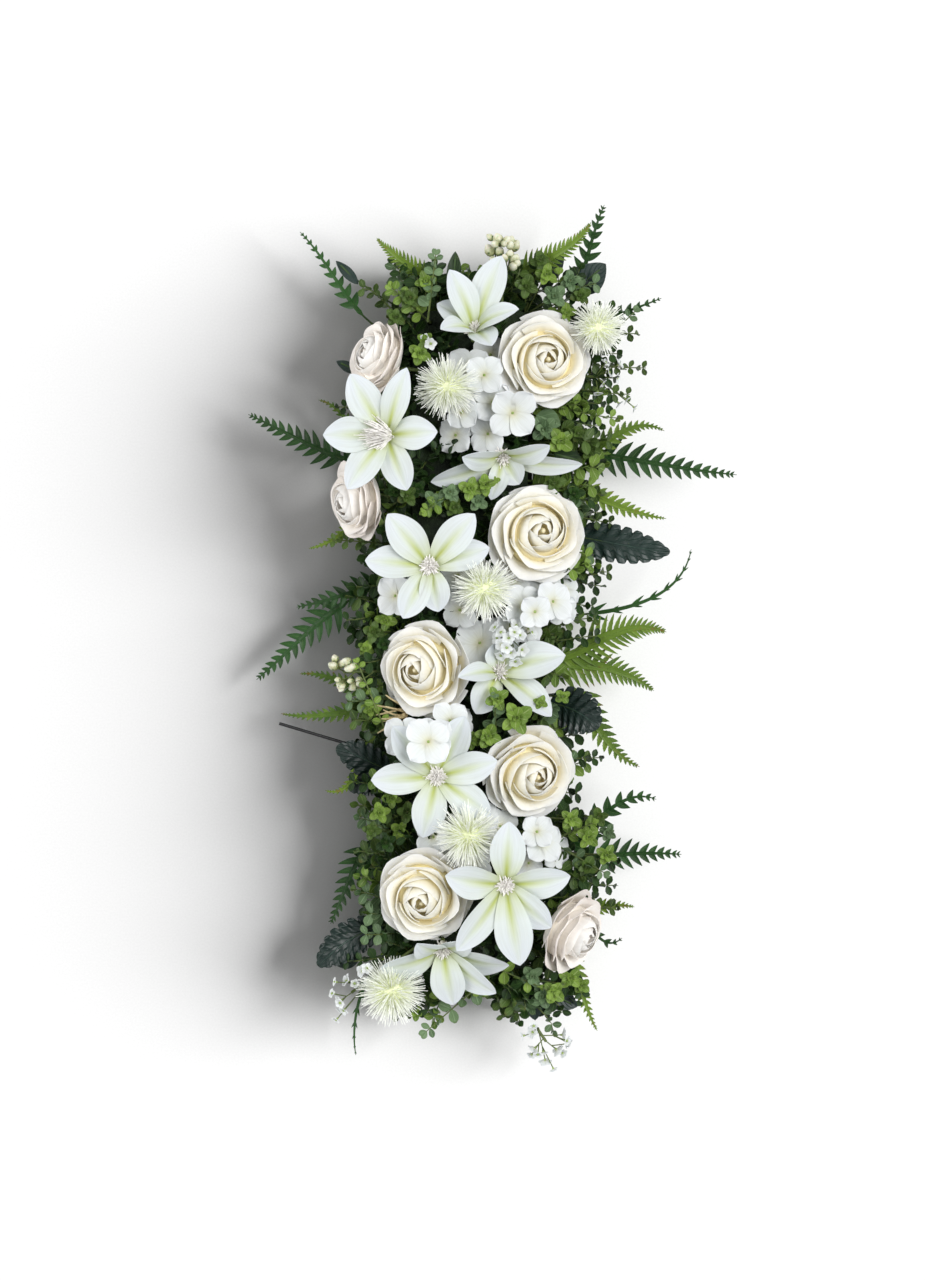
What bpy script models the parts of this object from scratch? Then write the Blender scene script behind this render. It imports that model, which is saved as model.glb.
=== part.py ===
"""Long low arrangement of silk flowers and moulded foliage, standing in a foam-filled tray.

Shapes are worked out in millimetres and turned to metres as each object is made. The origin is
the middle of the tray's underside, +Z is up and +Y runs along the tray. Azimuths are degrees
from +X towards +Y, and elevations are degrees above the level.

Blooms are placed first. Everything that comes later keeps clear of what is already there: a
petal tips up or down, a needle is shorter, a floret sits lower, a leaflet that has no room is
left off, and a stem takes the nearest free place on the foam.
"""
import math
from itertools import product

import bmesh
import bpy
import numpy as np
from mathutils import Vector
from mathutils.bvhtree import BVHTree

MM = 0.001
FLAT_ANGLE = 0.002

# Tray and foam
FOAM_LENGTH = 660
FOAM_WIDTH = 116
FOAM_TOP = 50
FOAM_CORNER = 8
FOAM_EDGE = 1
TRAY_WALL = 2
TRAY_FLOOR = 2
TRAY_HEIGHT = 14
TRAY_LIP = 2.5
TRAY_DRAFT = 1.5
SEAT_GAP = 0.3

# Stems and the holes that they stand in
STEM_RADIUS = 2.0
STEM_SIDES = 4
TWIG_RADIUS = 1.5
STALK_RADIUS = 1.0
ROOT_DEPTH = 13
HOLE_CLEARANCE = 0.75
HOLE_SPACING = 9
HOLE_EDGE = 6
HOLE_PITCH = 6
HOLE_MOUTH = 4
STEM_LIFT = 3

# Room between neighbours
GAP = 0.6
FLOOR_GAP = 2.0

# Roses: the petal profiles below are for a bloom of this width, whose rim is this high
ROSE_WIDTH = 92
ROSE_RIM = 38
ROSE_CORE = 8
ROSE_BUD = ((11, 20), (7, 35))
ROSE_BUD_TIP = 40
ROSE_BUD_SIDES = 6
ROSE_LAYER_TURN = 0.4
ROSE_NECK = 7
ROSE_ROUNDING = 0.22
ROSE_LAYERS = (
    # petals, half angle, slant, rows, profile corners as (radius, height), from outside inwards
    (5, 0.76, 2.6, 3, ((8, 0), (38, -2), (38, 26), (46, 36))),
    (4, 0.92, 2.4, 2, ((8, 4), (30, 4), (28, 30), (28, 42))),
    (3, 1.12, 2.2, 2, ((8, 8), (20, 8), (19, 34), (16, 42))),
)
SEAT_THICKNESS = 2.4
SEAT_SHARE = 0.8
ROSE_PETAL_THICKNESS = 1.2
ROSES = (
    # middle of the rim, azimuth and elevation that it faces, width
    ((77, 280, 100), 20, 75, 92),
    ((-102, 284, 80), 160, 30, 78),
    ((-124, 137, 80), 190, 28, 80),
    ((69, 106, 100), 0, 80, 96),
    ((-52, -32, 98), 200, 62, 94),
    ((63, -136, 96), -40, 65, 92),
    ((-48, -256, 104), 230, 72, 92),
    ((112, -296, 78), -25, 30, 84),
)

# Clematis: a petal is its azimuth and reach seen from above, the rise of its tip and its width
CLEMATIS_CORE = 5.5
CLEMATIS_ARCH = 0.10
CLEMATIS_FOLD = 0.2
CLEMATIS_CLAW = 2.6
CLEMATIS_POINT = 0.5
CLEMATIS_NECK = 9
CLEMATIS_CROWN = 4
CLEMATIS_TUFT = 9
CLEMATIS_PETAL_THICKNESS = 1.2
CLEMATIS_RISES = (0, 5, -5, 10, -10, 15, -15, 20, 26, 32)
CLEMATIS = (
    # middle, azimuth and elevation that it faces, petals
    ((-82, 202, 118), 180, 80, (
        (3, 50, 12, 30), (73, 68, 20, 24), (121, 70, 4, 31),
        (180, 63, 0, 32), (234, 66, 2, 30), (290, 58, 0, 29))),
    ((-40, 73, 108), 90, 85, (
        (17, 62, 4, 28), (49, 68, 8, 30), (129, 66, 6, 32),
        (175, 64, 0, 30), (243, 58, 0, 27), (281, 46, 0, 28))),
    ((-33, -135, 106), 0, 88, (
        (15, 62, 4, 29), (65, 66, 6, 30), (131, 66, 6, 31),
        (183, 65, 2, 29), (257, 62, 0, 31), (324, 66, 2, 28))),
    ((35, -240, 125), -90, 70, (
        (87, 62, 10, 32), (7, 64, 6, 30), (316, 62, 0, 28),
        (280, 82, -6, 34), (234, 82, -6, 26), (172, 60, 6, 32))),
    ((4, 306, 90), 85, 55, (
        (70, 80, 2, 31), (112, 65, 14, 27), (24, 48, 36, 24),
        (182, 33, 46, 22), (143, 46, 2, 28), (-43, 24, 34, 26))),
    ((32, 184, 88), -80, 50, (
        (201, 76, 4, 26), (186, 40, 40, 24), (256, 46, -4, 18),
        (300, 34, -2, 26), (9, 47, 38, 24), (-7, 80, 6, 20))),
    ((-27, -305, 88), -90, 45, (
        (-15, 68, 6, 28), (-41, 70, 0, 28), (-80, 59, -8, 32),
        (199, 66, 4, 30), (165, 26, 42, 28), (20, 28, 44, 26))),
    ((28, -33, 84), 60, 60, (
        (15, 69, 8, 36), (-39, 68, 4, 28), (-119, 46, 6, 28),
        (185, 40, 16, 18), (95, 30, 4, 26), (60, 36, 2, 26))),
)

# Needle blooms: middle and reach of the needles
NEEDLE_CORE = 9
NEEDLE_SHARES = (1, 0.85, 0.7, 0.55, 0.42, 0.32)
PINCUSHIONS = (
    ((-23, 250, 112), 34),
    ((127, 310, 85), 30),
    ((14, 50, 112), 34),
    ((-2, -193, 118), 36),
    ((-78, -348, 85), 36),
)

# Hydrangea florets: middle, azimuth and elevation that it faces, width
FLORET_THICKNESS = 1.2
FLORET_CORNERS = 12
FLORET_CUP = 0.1
FLORET_NECK = 3
HUNG_FROM = 9
FLORET_DROPS = (0, -6, 6, -12, 12, -18, -24, 18)
HYDRANGEAS = (
    (((0, 268, 90), 120, 75, 52), ((12, 245, 86), 20, 80, 56), ((42, 225, 88), -60, 70, 54),
     ((20, 285, 84), 60, 65, 44)),
    (((52, 34, 92), 10, 75, 48), ((82, 38, 84), 20, 60, 46), ((10, -3, 98), 150, 75, 58),
     ((-74, 44, 84), 190, 60, 46), ((34, 8, 88), -40, 70, 40)),
    (((-41, -100, 118), 120, 80, 52), ((-66, -96, 104), 160, 65, 44), ((-20, -80, 98), 60, 70, 42)),
    (((72, -202, 88), 20, 65, 46), ((-33, -214, 84), 200, 60, 46), ((30, -186, 88), 60, 70, 44),
     ((4, -222, 84), -90, 75, 42)),
)

# Foliage that comes out of the foam's sides. A mouth is where the stem leaves the foam.
# A frond is its tip, the azimuth that the tip points to, its longest leaflet and its pairs.
FERNS_DARK = (
    ((-58, 306, 20), (((-170, 408, 60), 135, 15, 8),)),
    ((-58, 170, 20), (((-223, 227, 35), 155, 24, 9),)),
    ((-58, 58, 18), (((-215, -40, 30), 220, 27, 9), ((-174, 33, 44), 190, 20, 7))),
    ((-58, -182, 20), (((-140, -285, 40), 245, 24, 8),)),
    ((-58, -312, 20), (((-115, -418, 30), 280, 9, 7),)),
    ((58, 312, 20), (((134, 434, 70), 65, 24, 8), ((192, 343, 45), 22, 17, 7))),
    ((58, 192, 20), (((268, 166, 40), -5, 25, 10),)),
    ((58, 24, 18), (((222, 91, 45), 80, 11, 8),)),
    ((58, -222, 20), (((213, -216, 30), -5, 26, 8), ((187, -160, 44), -22, 22, 6),
                      ((153, -300, 34), 41, 16, 5))),
)
FERNS_LIGHT = (
    ((-30, 330, 32), (((-93, 401, 70), 128, 18, 8),)),
    ((-58, 144, 34), (((-152, 241, 44), 168, 16, 6), ((-162, 92, 36), 189, 14, 6))),
    ((-58, -64, 34), (((-171, -34, 42), 185, 15, 6), ((-190, -74, 36), 169, 14, 7),
                      ((-145, -151, 44), 161, 14, 6))),
    ((-58, -258, 34), (((-134, -325, 46), 219, 17, 7),)),
    ((32, 330, 32), (((120, 415, 84), 62, 22, 9),)),
    ((58, 160, 34), (((195, 210, 44), -29, 18, 7), ((197, 122, 42), -6, 18, 7))),
    ((58, -22, 34), (((197, 8, 46), -23, 30, 8), ((185, -51, 34), -38, 26, 7),
                     ((170, -127, 50), -20, 24, 7))),
    ((58, -284, 34), (((128, -393, 38), -60, 17, 7), ((165, -268, 44), -13, 18, 6))),
)
FROND_WAVES = (0, 5, -4, 10, -8, 15)
FROND_WIDTH = 3.4
FROND_THICKNESS = 2.0
FROND_TAPER = 0.4
FROND_PULL = 0.36
FROND_SAG = 6
FROND_ROOM = 1.6
BARE_STALK = 0.30
ROOT_RADIUS = 2.0
LEAFLET_SLANT = 0.42
LEAFLET_DROOP = 0.10
LEAFLET_TAPER = 0.72

# Dark lobed leaves: mouth, then tip, azimuth of the tip, width and lobes on each side
DARK_LEAVES = (
    ((58, 108, 32), (((200, 88, 58), -5, 38, 6),)),
    ((58, -62, 32), (((128, -88, 66), -45, 46, 5),)),
    ((-58, -134, 32), (((-134, -108, 52), 165, 34, 4), ((-122, -150, 40), 215, 34, 4))),
    ((-58, -284, 32), (((-152, -327, 50), 228, 38, 6),)),
)

# Sprigs of small round leaves: fork, then the tip of each branch, its leaf length and its pairs
SPRIGS = (
    ((-42, 318, 78), (((-34, 382, 98), 14, 4), ((-78, 350, 84), 15, 4), ((-48, 284, 104), 13, 3))),
    ((-8, 148, 78), (((24, 158, 108), 13, 3), ((-44, 128, 102), 15, 4), ((-4, 112, 98), 14, 3))),
    ((92, 232, 62), (((88, 366, 72), 15, 4), ((166, 330, 50), 14, 3), ((112, 208, 82), 15, 4))),
    ((26, -92, 82), (((24, -58, 106), 15, 3), ((52, -98, 100), 14, 3), ((6, -104, 102), 15, 3))),
    ((-82, -98, 66), (((-112, -22, 78), 12, 4), ((-90, -178, 82), 16, 4))),
    ((92, -196, 66), (((122, -182, 84), 14, 3), ((134, -232, 76), 15, 3), ((98, -160, 84), 13, 3))),
    ((18, -338, 60), (((-44, -392, 58), 18, 3), ((84, -352, 70), 15, 3), ((36, -386, 62), 15, 3))),
)
BRANCH_WAVES = (0, 6, -6, 12, -12, 18)
BRANCH_WIDTH = 2.2
BRANCH_THICKNESS = 2.0
BRANCH_TWIST = 0.35
BRANCH_ROOM = 1.2
BRANCH_PULL = 0.3
LEAF_SEAT = 1.3
LEAF_WIDTH = 0.36
LEAF_LIFTS = (0.9, 0.2)

# Berry sprigs: end of the twig, berry radius and berry places
HEAD_SIDES = 5
STALKS_FROM = 0.45
BERRY_SPRIGS = (
    ((-126, -32, 66), 5.5,
     ((-136, -26, 72), (-128, -44, 62), (-122, -22, 72), (-116, -46, 64), (-110, -28, 74))),
    ((32, 386, 74), 6.5,
     ((28, 398, 82), (44, 392, 78), (20, 388, 74), (44, 378, 80), (24, 374, 78))),
)

# Waxflowers: end of the twig, radius and places of the tiny flowers
WAXFLOWERS = (
    ((-118, -352, 64), 8,
     ((-130, -360, 72), (-124, -340, 68), (-128, -372, 62), (-108, -330, 74), (-118, -382, 58))),
    ((76, -402, 52), 8,
     ((88, -412, 44), (64, -410, 50), (94, -396, 48), (62, -392, 60), (76, -424, 38))),
)

# The bare stem end: where it enters the foam, and its tip
STEM_END_RADIUS = 1.6
STEM_END = ((-58, -122, 24), (-192, -84, 34))

# Colours are linear red, green and blue
PAINTS = {
    "rose": ((0.86, 0.82, 0.70), 0.55),
    "clematis": ((0.85, 0.87, 0.82), 0.5),
    "pincushion": ((0.80, 0.85, 0.66), 0.6),
    "hydrangea": ((0.84, 0.86, 0.87), 0.6),
    "waxflower": ((0.85, 0.83, 0.80), 0.6),
    "berry_sprig": ((0.45, 0.44, 0.26), 0.5),
    "fern_dark": ((0.020, 0.060, 0.022), 0.5),
    "fern_light": ((0.090, 0.160, 0.024), 0.5),
    "dark_leaf": ((0.012, 0.035, 0.030), 0.4),
    "sprig": ((0.120, 0.220, 0.030), 0.5),
    "stem_end": ((0.010, 0.010, 0.012), 0.4),
    "foam": ((0.012, 0.022, 0.014), 0.95),
    "tray": ((0.012, 0.012, 0.013), 0.45),
}

placed = []
roots = []


def heading(azimuth, elevation=0.0):
    """Unit vector that points along an azimuth and elevation."""
    azimuth = math.radians(azimuth)
    elevation = math.radians(elevation)
    level = math.cos(elevation)
    return np.array((level * math.cos(azimuth), level * math.sin(azimuth), math.sin(elevation)))


def unit(vector):
    return vector / np.linalg.norm(vector)


def bezier(corners, share):
    """Points at the given shares of the way along a cubic curve."""
    a, b, c, d = (np.array(corner, float) for corner in corners)
    t = np.asarray(share, float)[..., None]
    return a * (1 - t) ** 3 + b * 3 * t * (1 - t) ** 2 + c * 3 * t ** 2 * (1 - t) + d * t ** 3


def spin(facing):
    """Matrix whose columns are the +X, +Y and +Z axes turned the shortest way to a new +Z."""
    return np.array(Vector((0, 0, 1)).rotation_difference(Vector(facing)).to_matrix())


def stand(points, base, facing):
    """Points given round the +Z axis, turned the shortest way to face another way and moved."""
    return np.asarray(points, float) @ spin(facing).T + np.array(base, float)


def blade(grid, thickness):
    """Closed thin blade of even thickness round a middle surface, given as rows of points."""
    rows, columns = grid.shape[:2]
    normal = np.cross(np.gradient(grid, axis=0), np.gradient(grid, axis=1))
    normal /= np.linalg.norm(normal, axis=2, keepdims=True)
    shift = normal * thickness / 2
    points = np.concatenate(((grid + shift).reshape(-1, 3), (grid - shift).reshape(-1, 3)))
    under = rows * columns
    faces = []
    for row, column in product(range(rows - 1), range(columns - 1)):
        a = row * columns + column
        b, c, d = a + columns, a + columns + 1, a + 1
        faces += [(a, b, c), (a, c, d), (a + under, c + under, b + under), (a + under, d + under, c + under)]
    rim = [row * columns for row in range(rows)]
    rim += [(rows - 1) * columns + column for column in range(1, columns)]
    rim += [row * columns + columns - 1 for row in range(rows - 2, -1, -1)]
    rim += [column for column in range(columns - 2, 0, -1)]
    for p, q in zip(rim, rim[1:] + rim[:1]):
        faces += [(q, p, p + under), (q, p + under, q + under)]
    return points, faces


def turned(profile, sides):
    """Closed turned body from (radius, height) pairs that start and end on the axis."""
    points = [(0, 0, profile[0][1])]
    for radius, height in profile[1:-1]:
        for side in range(sides):
            angle = 2 * math.pi * side / sides
            points.append((radius * math.cos(angle), radius * math.sin(angle), height))
    points.append((0, 0, profile[-1][1]))
    top = len(points) - 1
    rings = len(profile) - 2
    faces = []
    for side in range(sides):
        here, there = side + 1, (side + 1) % sides + 1
        faces.append((0, there, here))
        faces.append((top, here + (rings - 1) * sides, there + (rings - 1) * sides))
        for ring in range(rings - 1):
            a, b = here + ring * sides, there + ring * sides
            faces += [(a, b, b + sides), (a, b + sides, a + sides)]
    return np.array(points, float), faces


def tube(path, radius, sides=STEM_SIDES):
    """Closed bar along a path."""
    path = [Vector(point) for point in path]
    last = len(path) - 1
    tangents = [(path[min(k + 1, last)] - path[max(k - 1, 0)]).normalized() for k in range(last + 1)]
    side = tangents[0].orthogonal().normalized()
    points = []
    for centre, tangent in zip(path, tangents):
        side = (side - tangent * side.dot(tangent)).normalized()
        other = tangent.cross(side)
        for k in range(sides):
            angle = 2 * math.pi * k / sides
            points.append(centre + radius * (math.cos(angle) * side + math.sin(angle) * other))
    faces = []
    for ring, k in product(range(last), range(sides)):
        a = ring * sides + k
        b = ring * sides + (k + 1) % sides
        faces += [(a, b, b + sides), (a, b + sides, a + sides)]
    end = last * sides
    for k in range(1, sides - 1):
        faces += [(0, k + 1, k), (end, end + k, end + k + 1)]
    return np.array(points, float), faces


def ball(centre, radius, detail):
    """Faceted ball."""
    mesh = bmesh.new()
    bmesh.ops.create_icosphere(mesh, subdivisions=detail, radius=radius)
    points = np.array([vertex.co[:] for vertex in mesh.verts]) + np.array(centre, float)
    faces = [tuple(vertex.index for vertex in face.verts) for face in mesh.faces]
    mesh.free()
    return points, faces


def pincushion_head(centre, reach):
    """Ball of needles, each as long as there is room for, round a small core."""
    corners, triangles = ball(centre, NEEDLE_CORE, 1)
    centre = np.array(centre, float)
    points = list(corners)
    faces = []
    for triangle in triangles:
        points.append(centre + unit(corners[list(triangle)].mean(axis=0) - centre) * NEEDLE_CORE)
        raised = len(points) - 1
        faces += [(here, there, raised) for here, there in zip(triangle, triangle[1:] + triangle[:1])]
    spikes = []
    for face in faces:
        root = np.array([points[number] for number in face])
        outward = unit(root.mean(axis=0) - centre)
        for share in NEEDLE_SHARES:
            tip = centre + outward * reach * share
            if is_clear((np.vstack((root, tip)), [(0, 2, 1), (0, 1, 3), (1, 2, 3), (2, 0, 3)])):
                break
        points.append(tip)
        a, b, c = face
        number = len(points) - 1
        spikes += [(a, b, number), (b, c, number), (c, a, number)]
    return np.array(points), spikes, None, centre - (0, 0, NEEDLE_CORE * 2 / 3), heading(0, 90)


def remember(owner, solid):
    """Adds a solid to what later pieces keep clear of."""
    points, faces = solid
    tree = BVHTree.FromPolygons(points.tolist(), faces)
    placed.append((owner, tree, points.min(axis=0), points.max(axis=0)))


def is_clear(solid, owner=None, gap=GAP):
    """Whether a solid stays clear of the floor and of everything placed so far but its owner's."""
    points, faces = solid
    low, high = points.min(axis=0), points.max(axis=0)
    if low[2] < FLOOR_GAP:
        return False
    tree = BVHTree.FromPolygons(points.tolist(), faces)
    for name, other, other_low, other_high in placed:
        if name == owner or np.any(low > other_high + gap) or np.any(high < other_low - gap):
            continue
        if tree.overlap(other):
            return False
        if any(other.find_nearest(Vector(point), gap)[0] for point in points):
            return False
    return True


def zip_rings(faces, points, lower, upper, centre=(0, 0, 0), facing=(0, 0, 1)):
    """Band of triangles between two rings of points round an axis."""
    local = (np.array([points[n] for n in (*lower, *upper)]) - np.array(centre)) @ spin(facing)
    angles = dict(zip((*lower, *upper), np.arctan2(local[:, 1], local[:, 0]) % (2 * math.pi)))
    lower = sorted(lower, key=angles.get)
    upper = sorted(upper, key=angles.get)
    low_turns = [angles[n] for n in lower[1:]] + [angles[lower[0]] + 2 * math.pi]
    up_turns = [angles[n] for n in upper[1:]] + [angles[upper[0]] + 2 * math.pi]
    a = b = 0
    while a < len(lower) or b < len(upper):
        here, there = lower[a % len(lower)], upper[b % len(upper)]
        if b == len(upper) or (a < len(lower) and low_turns[a] <= up_turns[b]):
            a += 1
            faces.append((here, lower[a % len(lower)], there))
        else:
            b += 1
            faces.append((here, upper[b % len(upper)], there))


def seats_round(points, middles, half_angle, radius, low, high):
    """Adds the corners of a seat for each petal, round the +Z axis. Gives their numbers."""
    seats = []
    for middle in middles:
        first = len(points)
        for turn, height in ((half_angle, high), (-half_angle, high), (-half_angle, low), (half_angle, low)):
            points.append((radius * math.cos(middle + turn), radius * math.sin(middle + turn), height))
        seats.append((first, first + 1, first + 2, first + 3))
    return seats


def lower_ring(seats):
    return [number for seat in seats for number in (seat[2], seat[3])]


def upper_ring(seats):
    return [number for seat in seats for number in (seat[1], seat[0])]


def close_gaps(faces, seats):
    """Wall between each seat and the next one round."""
    for here, there in zip(seats, seats[1:] + seats[:1]):
        left_top, left_low, right_top, right_low = here[0], here[3], there[1], there[2]
        faces += [(left_low, right_low, right_top), (left_low, right_top, left_top)]


def draw_petal(points, faces, seat, rows, thickness):
    """Draws a thin petal out of its seat. rows are its middle surface, three points to a row."""
    rows = rows[:, ::-1]
    root = (np.array(points[seat[0]]) + np.array(points[seat[3]])) / 2
    other = (np.array(points[seat[1]]) + np.array(points[seat[2]])) / 2
    full = np.concatenate(([(root, (root + other) / 2, other)], rows))
    normal = np.cross(np.gradient(full, axis=1), np.gradient(full, axis=0))
    normal /= np.linalg.norm(normal, axis=2, keepdims=True)
    shift = normal[1:] * thickness / 2
    start = len(points)
    points.extend(map(tuple, (rows + shift).reshape(-1, 3)))
    under = len(rows) * 3
    points.extend(map(tuple, (rows - shift).reshape(-1, 3)))
    a, b, c, d = seat
    left, middle, right = start, start + 1, start + 2
    faces += [(a, b, middle), (b, right, middle), (a, middle, left)]
    faces += [(d, middle + under, c), (c, middle + under, right + under), (d, left + under, middle + under)]
    faces += [(a, left, left + under), (a, left + under, d), (right, b, c), (right, c, right + under)]
    for row in range(len(rows) - 1):
        for column in range(2):
            p = start + 3 * row + column
            faces += [(p, p + 1, p + 4), (p, p + 4, p + 3)]
            faces += [(p + under, p + 4 + under, p + 1 + under), (p + under, p + 3 + under, p + 4 + under)]
        p = start + 3 * row
        faces += [(p, p + 3, p + 3 + under), (p, p + 3 + under, p + under)]
        p += 2
        faces += [(p + 3, p, p + under), (p + 3, p + under, p + 3 + under)]
    for column in range(2):
        p = start + 3 * (len(rows) - 1) + column
        faces += [(p, p + 1, p + 1 + under), (p, p + 1 + under, p + under)]


def rose_petal(corners, middle, half_angle, slant, rows, columns):
    """Middle surface of a rose petal past its root, up to its rim, round the +Z axis."""
    across = np.linspace(-1, 1, columns + 1)[None, :]
    along = np.linspace(0, 1, rows + 1)[1:, None]
    radius, height = np.moveaxis(bezier(corners, along * (1 - ROSE_ROUNDING * np.abs(across) ** 2.5)), -1, 0)
    radius = radius + slant * across
    angle = middle + half_angle * across * (0.6 + 0.4 * np.sqrt(along))
    return np.stack((radius * np.cos(angle), radius * np.sin(angle), height), axis=-1)


def rose_head(heart, azimuth, elevation, width):
    """Bud and petals of a rose, open at the bottom, and where its stem starts."""
    scale = width / ROSE_WIDTH
    facing = heading(azimuth, elevation)
    base = np.array(heart) - facing * ROSE_RIM * scale
    points = []
    faces = []
    for layer, (count, half_angle, slant, rows, corners) in enumerate(ROSE_LAYERS):
        middles = [2 * math.pi * (number + ROSE_LAYER_TURN * layer) / count for number in range(count)]
        height = corners[0][1]
        seats = seats_round(points, middles, SEAT_SHARE * math.pi / count, ROSE_CORE,
                            height - SEAT_THICKNESS / 2, height + SEAT_THICKNESS / 2)
        if layer == 0:
            bottom = lower_ring(seats)
        else:
            zip_rings(faces, points, below, lower_ring(seats))
        close_gaps(faces, seats)
        for middle, seat in zip(middles, seats):
            grid = rose_petal(corners, middle, half_angle, slant, rows, 2)
            draw_petal(points, faces, seat, grid, ROSE_PETAL_THICKNESS)
        below = upper_ring(seats)
    for radius, height in ROSE_BUD:
        ring = list(range(len(points), len(points) + ROSE_BUD_SIDES))
        for side in range(ROSE_BUD_SIDES):
            angle = 2 * math.pi * side / ROSE_BUD_SIDES
            points.append((radius * math.cos(angle), radius * math.sin(angle), height))
        zip_rings(faces, points, below, ring)
        below = ring
    points.append((0, 0, ROSE_BUD_TIP))
    faces += [(here, there, len(points) - 1) for here, there in zip(below, below[1:] + below[:1])]
    points = stand(np.array(points) * scale, base, facing)
    return points, faces, bottom, base - facing * ROSE_NECK, facing


def clematis_petal(heart, facing, petal, rows, columns):
    """Middle surface of a clematis petal past its root, up to its tip."""
    azimuth, reach, rise, width = petal
    way = heading(azimuth) * reach + np.array((0, 0, rise))
    length = np.linalg.norm(way)
    upper = unit(facing - unit(way) * np.dot(facing, unit(way)))
    side = np.cross(upper, unit(way))
    across = np.linspace(-1, 1, columns + 1)[None, :, None]
    along = np.linspace(0.04, 1, rows + 1)[1:, None, None]
    half = width / 2 * np.sin(math.pi * along ** 1.1) ** 0.85 + CLEMATIS_CLAW * (1 - along) + CLEMATIS_POINT
    arch = CLEMATIS_ARCH * length * np.sin(math.pi * along)
    fold = CLEMATIS_FOLD * half * np.abs(across) ** 1.5
    return np.array(heart, float) + way * along + side * half * across + upper * (arch + fold)


def clematis_head(heart, azimuth, elevation, petals):
    """Boss, stamens and petals, each petal tipped as far as it takes to lie clear.

    Like a rose head it is open at the bottom, where its stem will be drawn out.
    """
    facing = heading(azimuth, elevation)
    heart = np.array(heart, float)
    axes = stand(np.eye(3), (0, 0, 0), facing)
    kept = []
    for azimuth, reach, rise, width in petals:
        for change in CLEMATIS_RISES:
            petal = (azimuth, reach, rise + change, width)
            grid = clematis_petal(heart, facing, petal, 3, 2)
            if is_clear(blade(grid, CLEMATIS_PETAL_THICKNESS)):
                x, y, _ = axes @ (heading(azimuth) * reach + np.array((0, 0, rise + change)))
                kept.append((math.atan2(y, x) % (2 * math.pi), grid))
                break
    kept.sort(key=lambda pair: pair[0])
    middles = [angle for angle, grid in kept]
    gaps = [(there - here) % (2 * math.pi) for here, there in zip(middles, middles[1:] + middles[:1])]
    points = []
    seats = seats_round(points, middles, SEAT_SHARE / 2 * min(*gaps, math.pi / 3), CLEMATIS_CORE,
                        -SEAT_THICKNESS / 2, SEAT_THICKNESS / 2)
    points = [tuple(point) for point in stand(points, heart, facing)]
    faces = []
    close_gaps(faces, seats)
    for seat, (angle, grid) in zip(seats, kept):
        draw_petal(points, faces, seat, grid, CLEMATIS_PETAL_THICKNESS)
    crown = heart + facing * CLEMATIS_CROWN
    number = len(points)
    points.append(tuple(crown))
    rim = upper_ring(seats)
    for here, there in zip(rim, rim[1:] + rim[:1]):
        middle = (np.array(points[here]) + points[there] + crown) / 3
        points.append(tuple(middle + unit(middle - heart + facing * 3) * CLEMATIS_TUFT))
        tip = len(points) - 1
        faces += [(here, there, tip), (there, number, tip), (number, here, tip)]
    return np.array(points), faces, lower_ring(seats), heart - facing * CLEMATIS_NECK, facing


def draw_stem(points, faces, ring, path, radius):
    """Head with its stem drawn out of the ring of points at its bottom."""
    count = len(points)
    stem, stem_faces = tube(path[::-1], radius)
    neck = [count + len(stem) - STEM_SIDES + side for side in range(STEM_SIDES)]
    cap = {neck[0], *neck}
    points = np.vstack((points, stem))
    faces = list(faces)
    for face in stem_faces:
        face = tuple(number + count for number in face)
        if not cap.issuperset(face):
            faces.append(face)
    centre = np.mean([points[number] for number in ring], axis=0)
    zip_rings(faces, points, neck, ring, centre, unit(centre - path[0]))
    return points, faces


def floret_stalk(middle, azimuth, elevation, width, end):
    """Four-lobed floret with its stalk as one body."""
    facing = heading(azimuth, elevation)
    count = FLORET_CORNERS
    angles = 2 * math.pi * np.arange(count) / count
    lobe = np.where(np.arange(count) % 3 == 0, 0.0, 1.0)
    radius = width / 2 * (0.5 + 0.5 * lobe)
    rim = np.stack((radius * np.cos(angles), radius * np.sin(angles), FLORET_CUP * radius * lobe), axis=-1)
    turns = math.radians(23) + math.pi / 2 * np.arange(4)
    neck = STALK_RADIUS * np.stack((np.cos(turns), np.sin(turns), 0 * turns), axis=-1) - (0, 0, FLORET_NECK)
    head = np.vstack(([(0, 0, 0)], rim, rim - (0, 0, FLORET_THICKNESS), neck))
    points = stand(head, middle, facing)
    foot = points[-4:] - points[-4:].mean(axis=0) + np.array(end)
    points = np.vstack((points, foot))
    top = list(range(1, count + 1))
    under = [number + count for number in top]
    ring = [2 * count + 1 + k for k in range(4)]
    end = [number + 4 for number in ring]
    faces = [(0, here, there) for here, there in zip(top, top[1:] + top[:1])]
    for k in range(count):
        a, b = top[k], top[(k + 1) % count]
        c, d = under[k], under[(k + 1) % count]
        faces += [(a, c, d), (a, d, b)]
        faces.append((d, c, ring[k // 3]))
    for k in range(4):
        here, there = ring[k], ring[(k + 1) % 4]
        faces.append((under[(3 * k + 3) % count], here, there))
        faces += [(here, end[k], end[(k + 1) % 4]), (here, end[(k + 1) % 4], there)]
    faces += [(end[0], end[2], end[1]), (end[0], end[3], end[2])]
    return points, faces


def hydrangea_head(name, florets):
    """Places of one group's florets, each moved up or down until it has room."""
    placements = []
    for middle, azimuth, elevation, width in florets:
        facing = heading(azimuth, elevation)
        for drop in FLORET_DROPS:
            heart = np.array(middle, float) + (0, 0, drop)
            trial = floret_stalk(heart, azimuth, elevation, width, heart - facing * 6)
            if is_clear(trial):
                remember(name, trial)
                placements.append((heart, azimuth, elevation, width))
                break
    return placements


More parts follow.
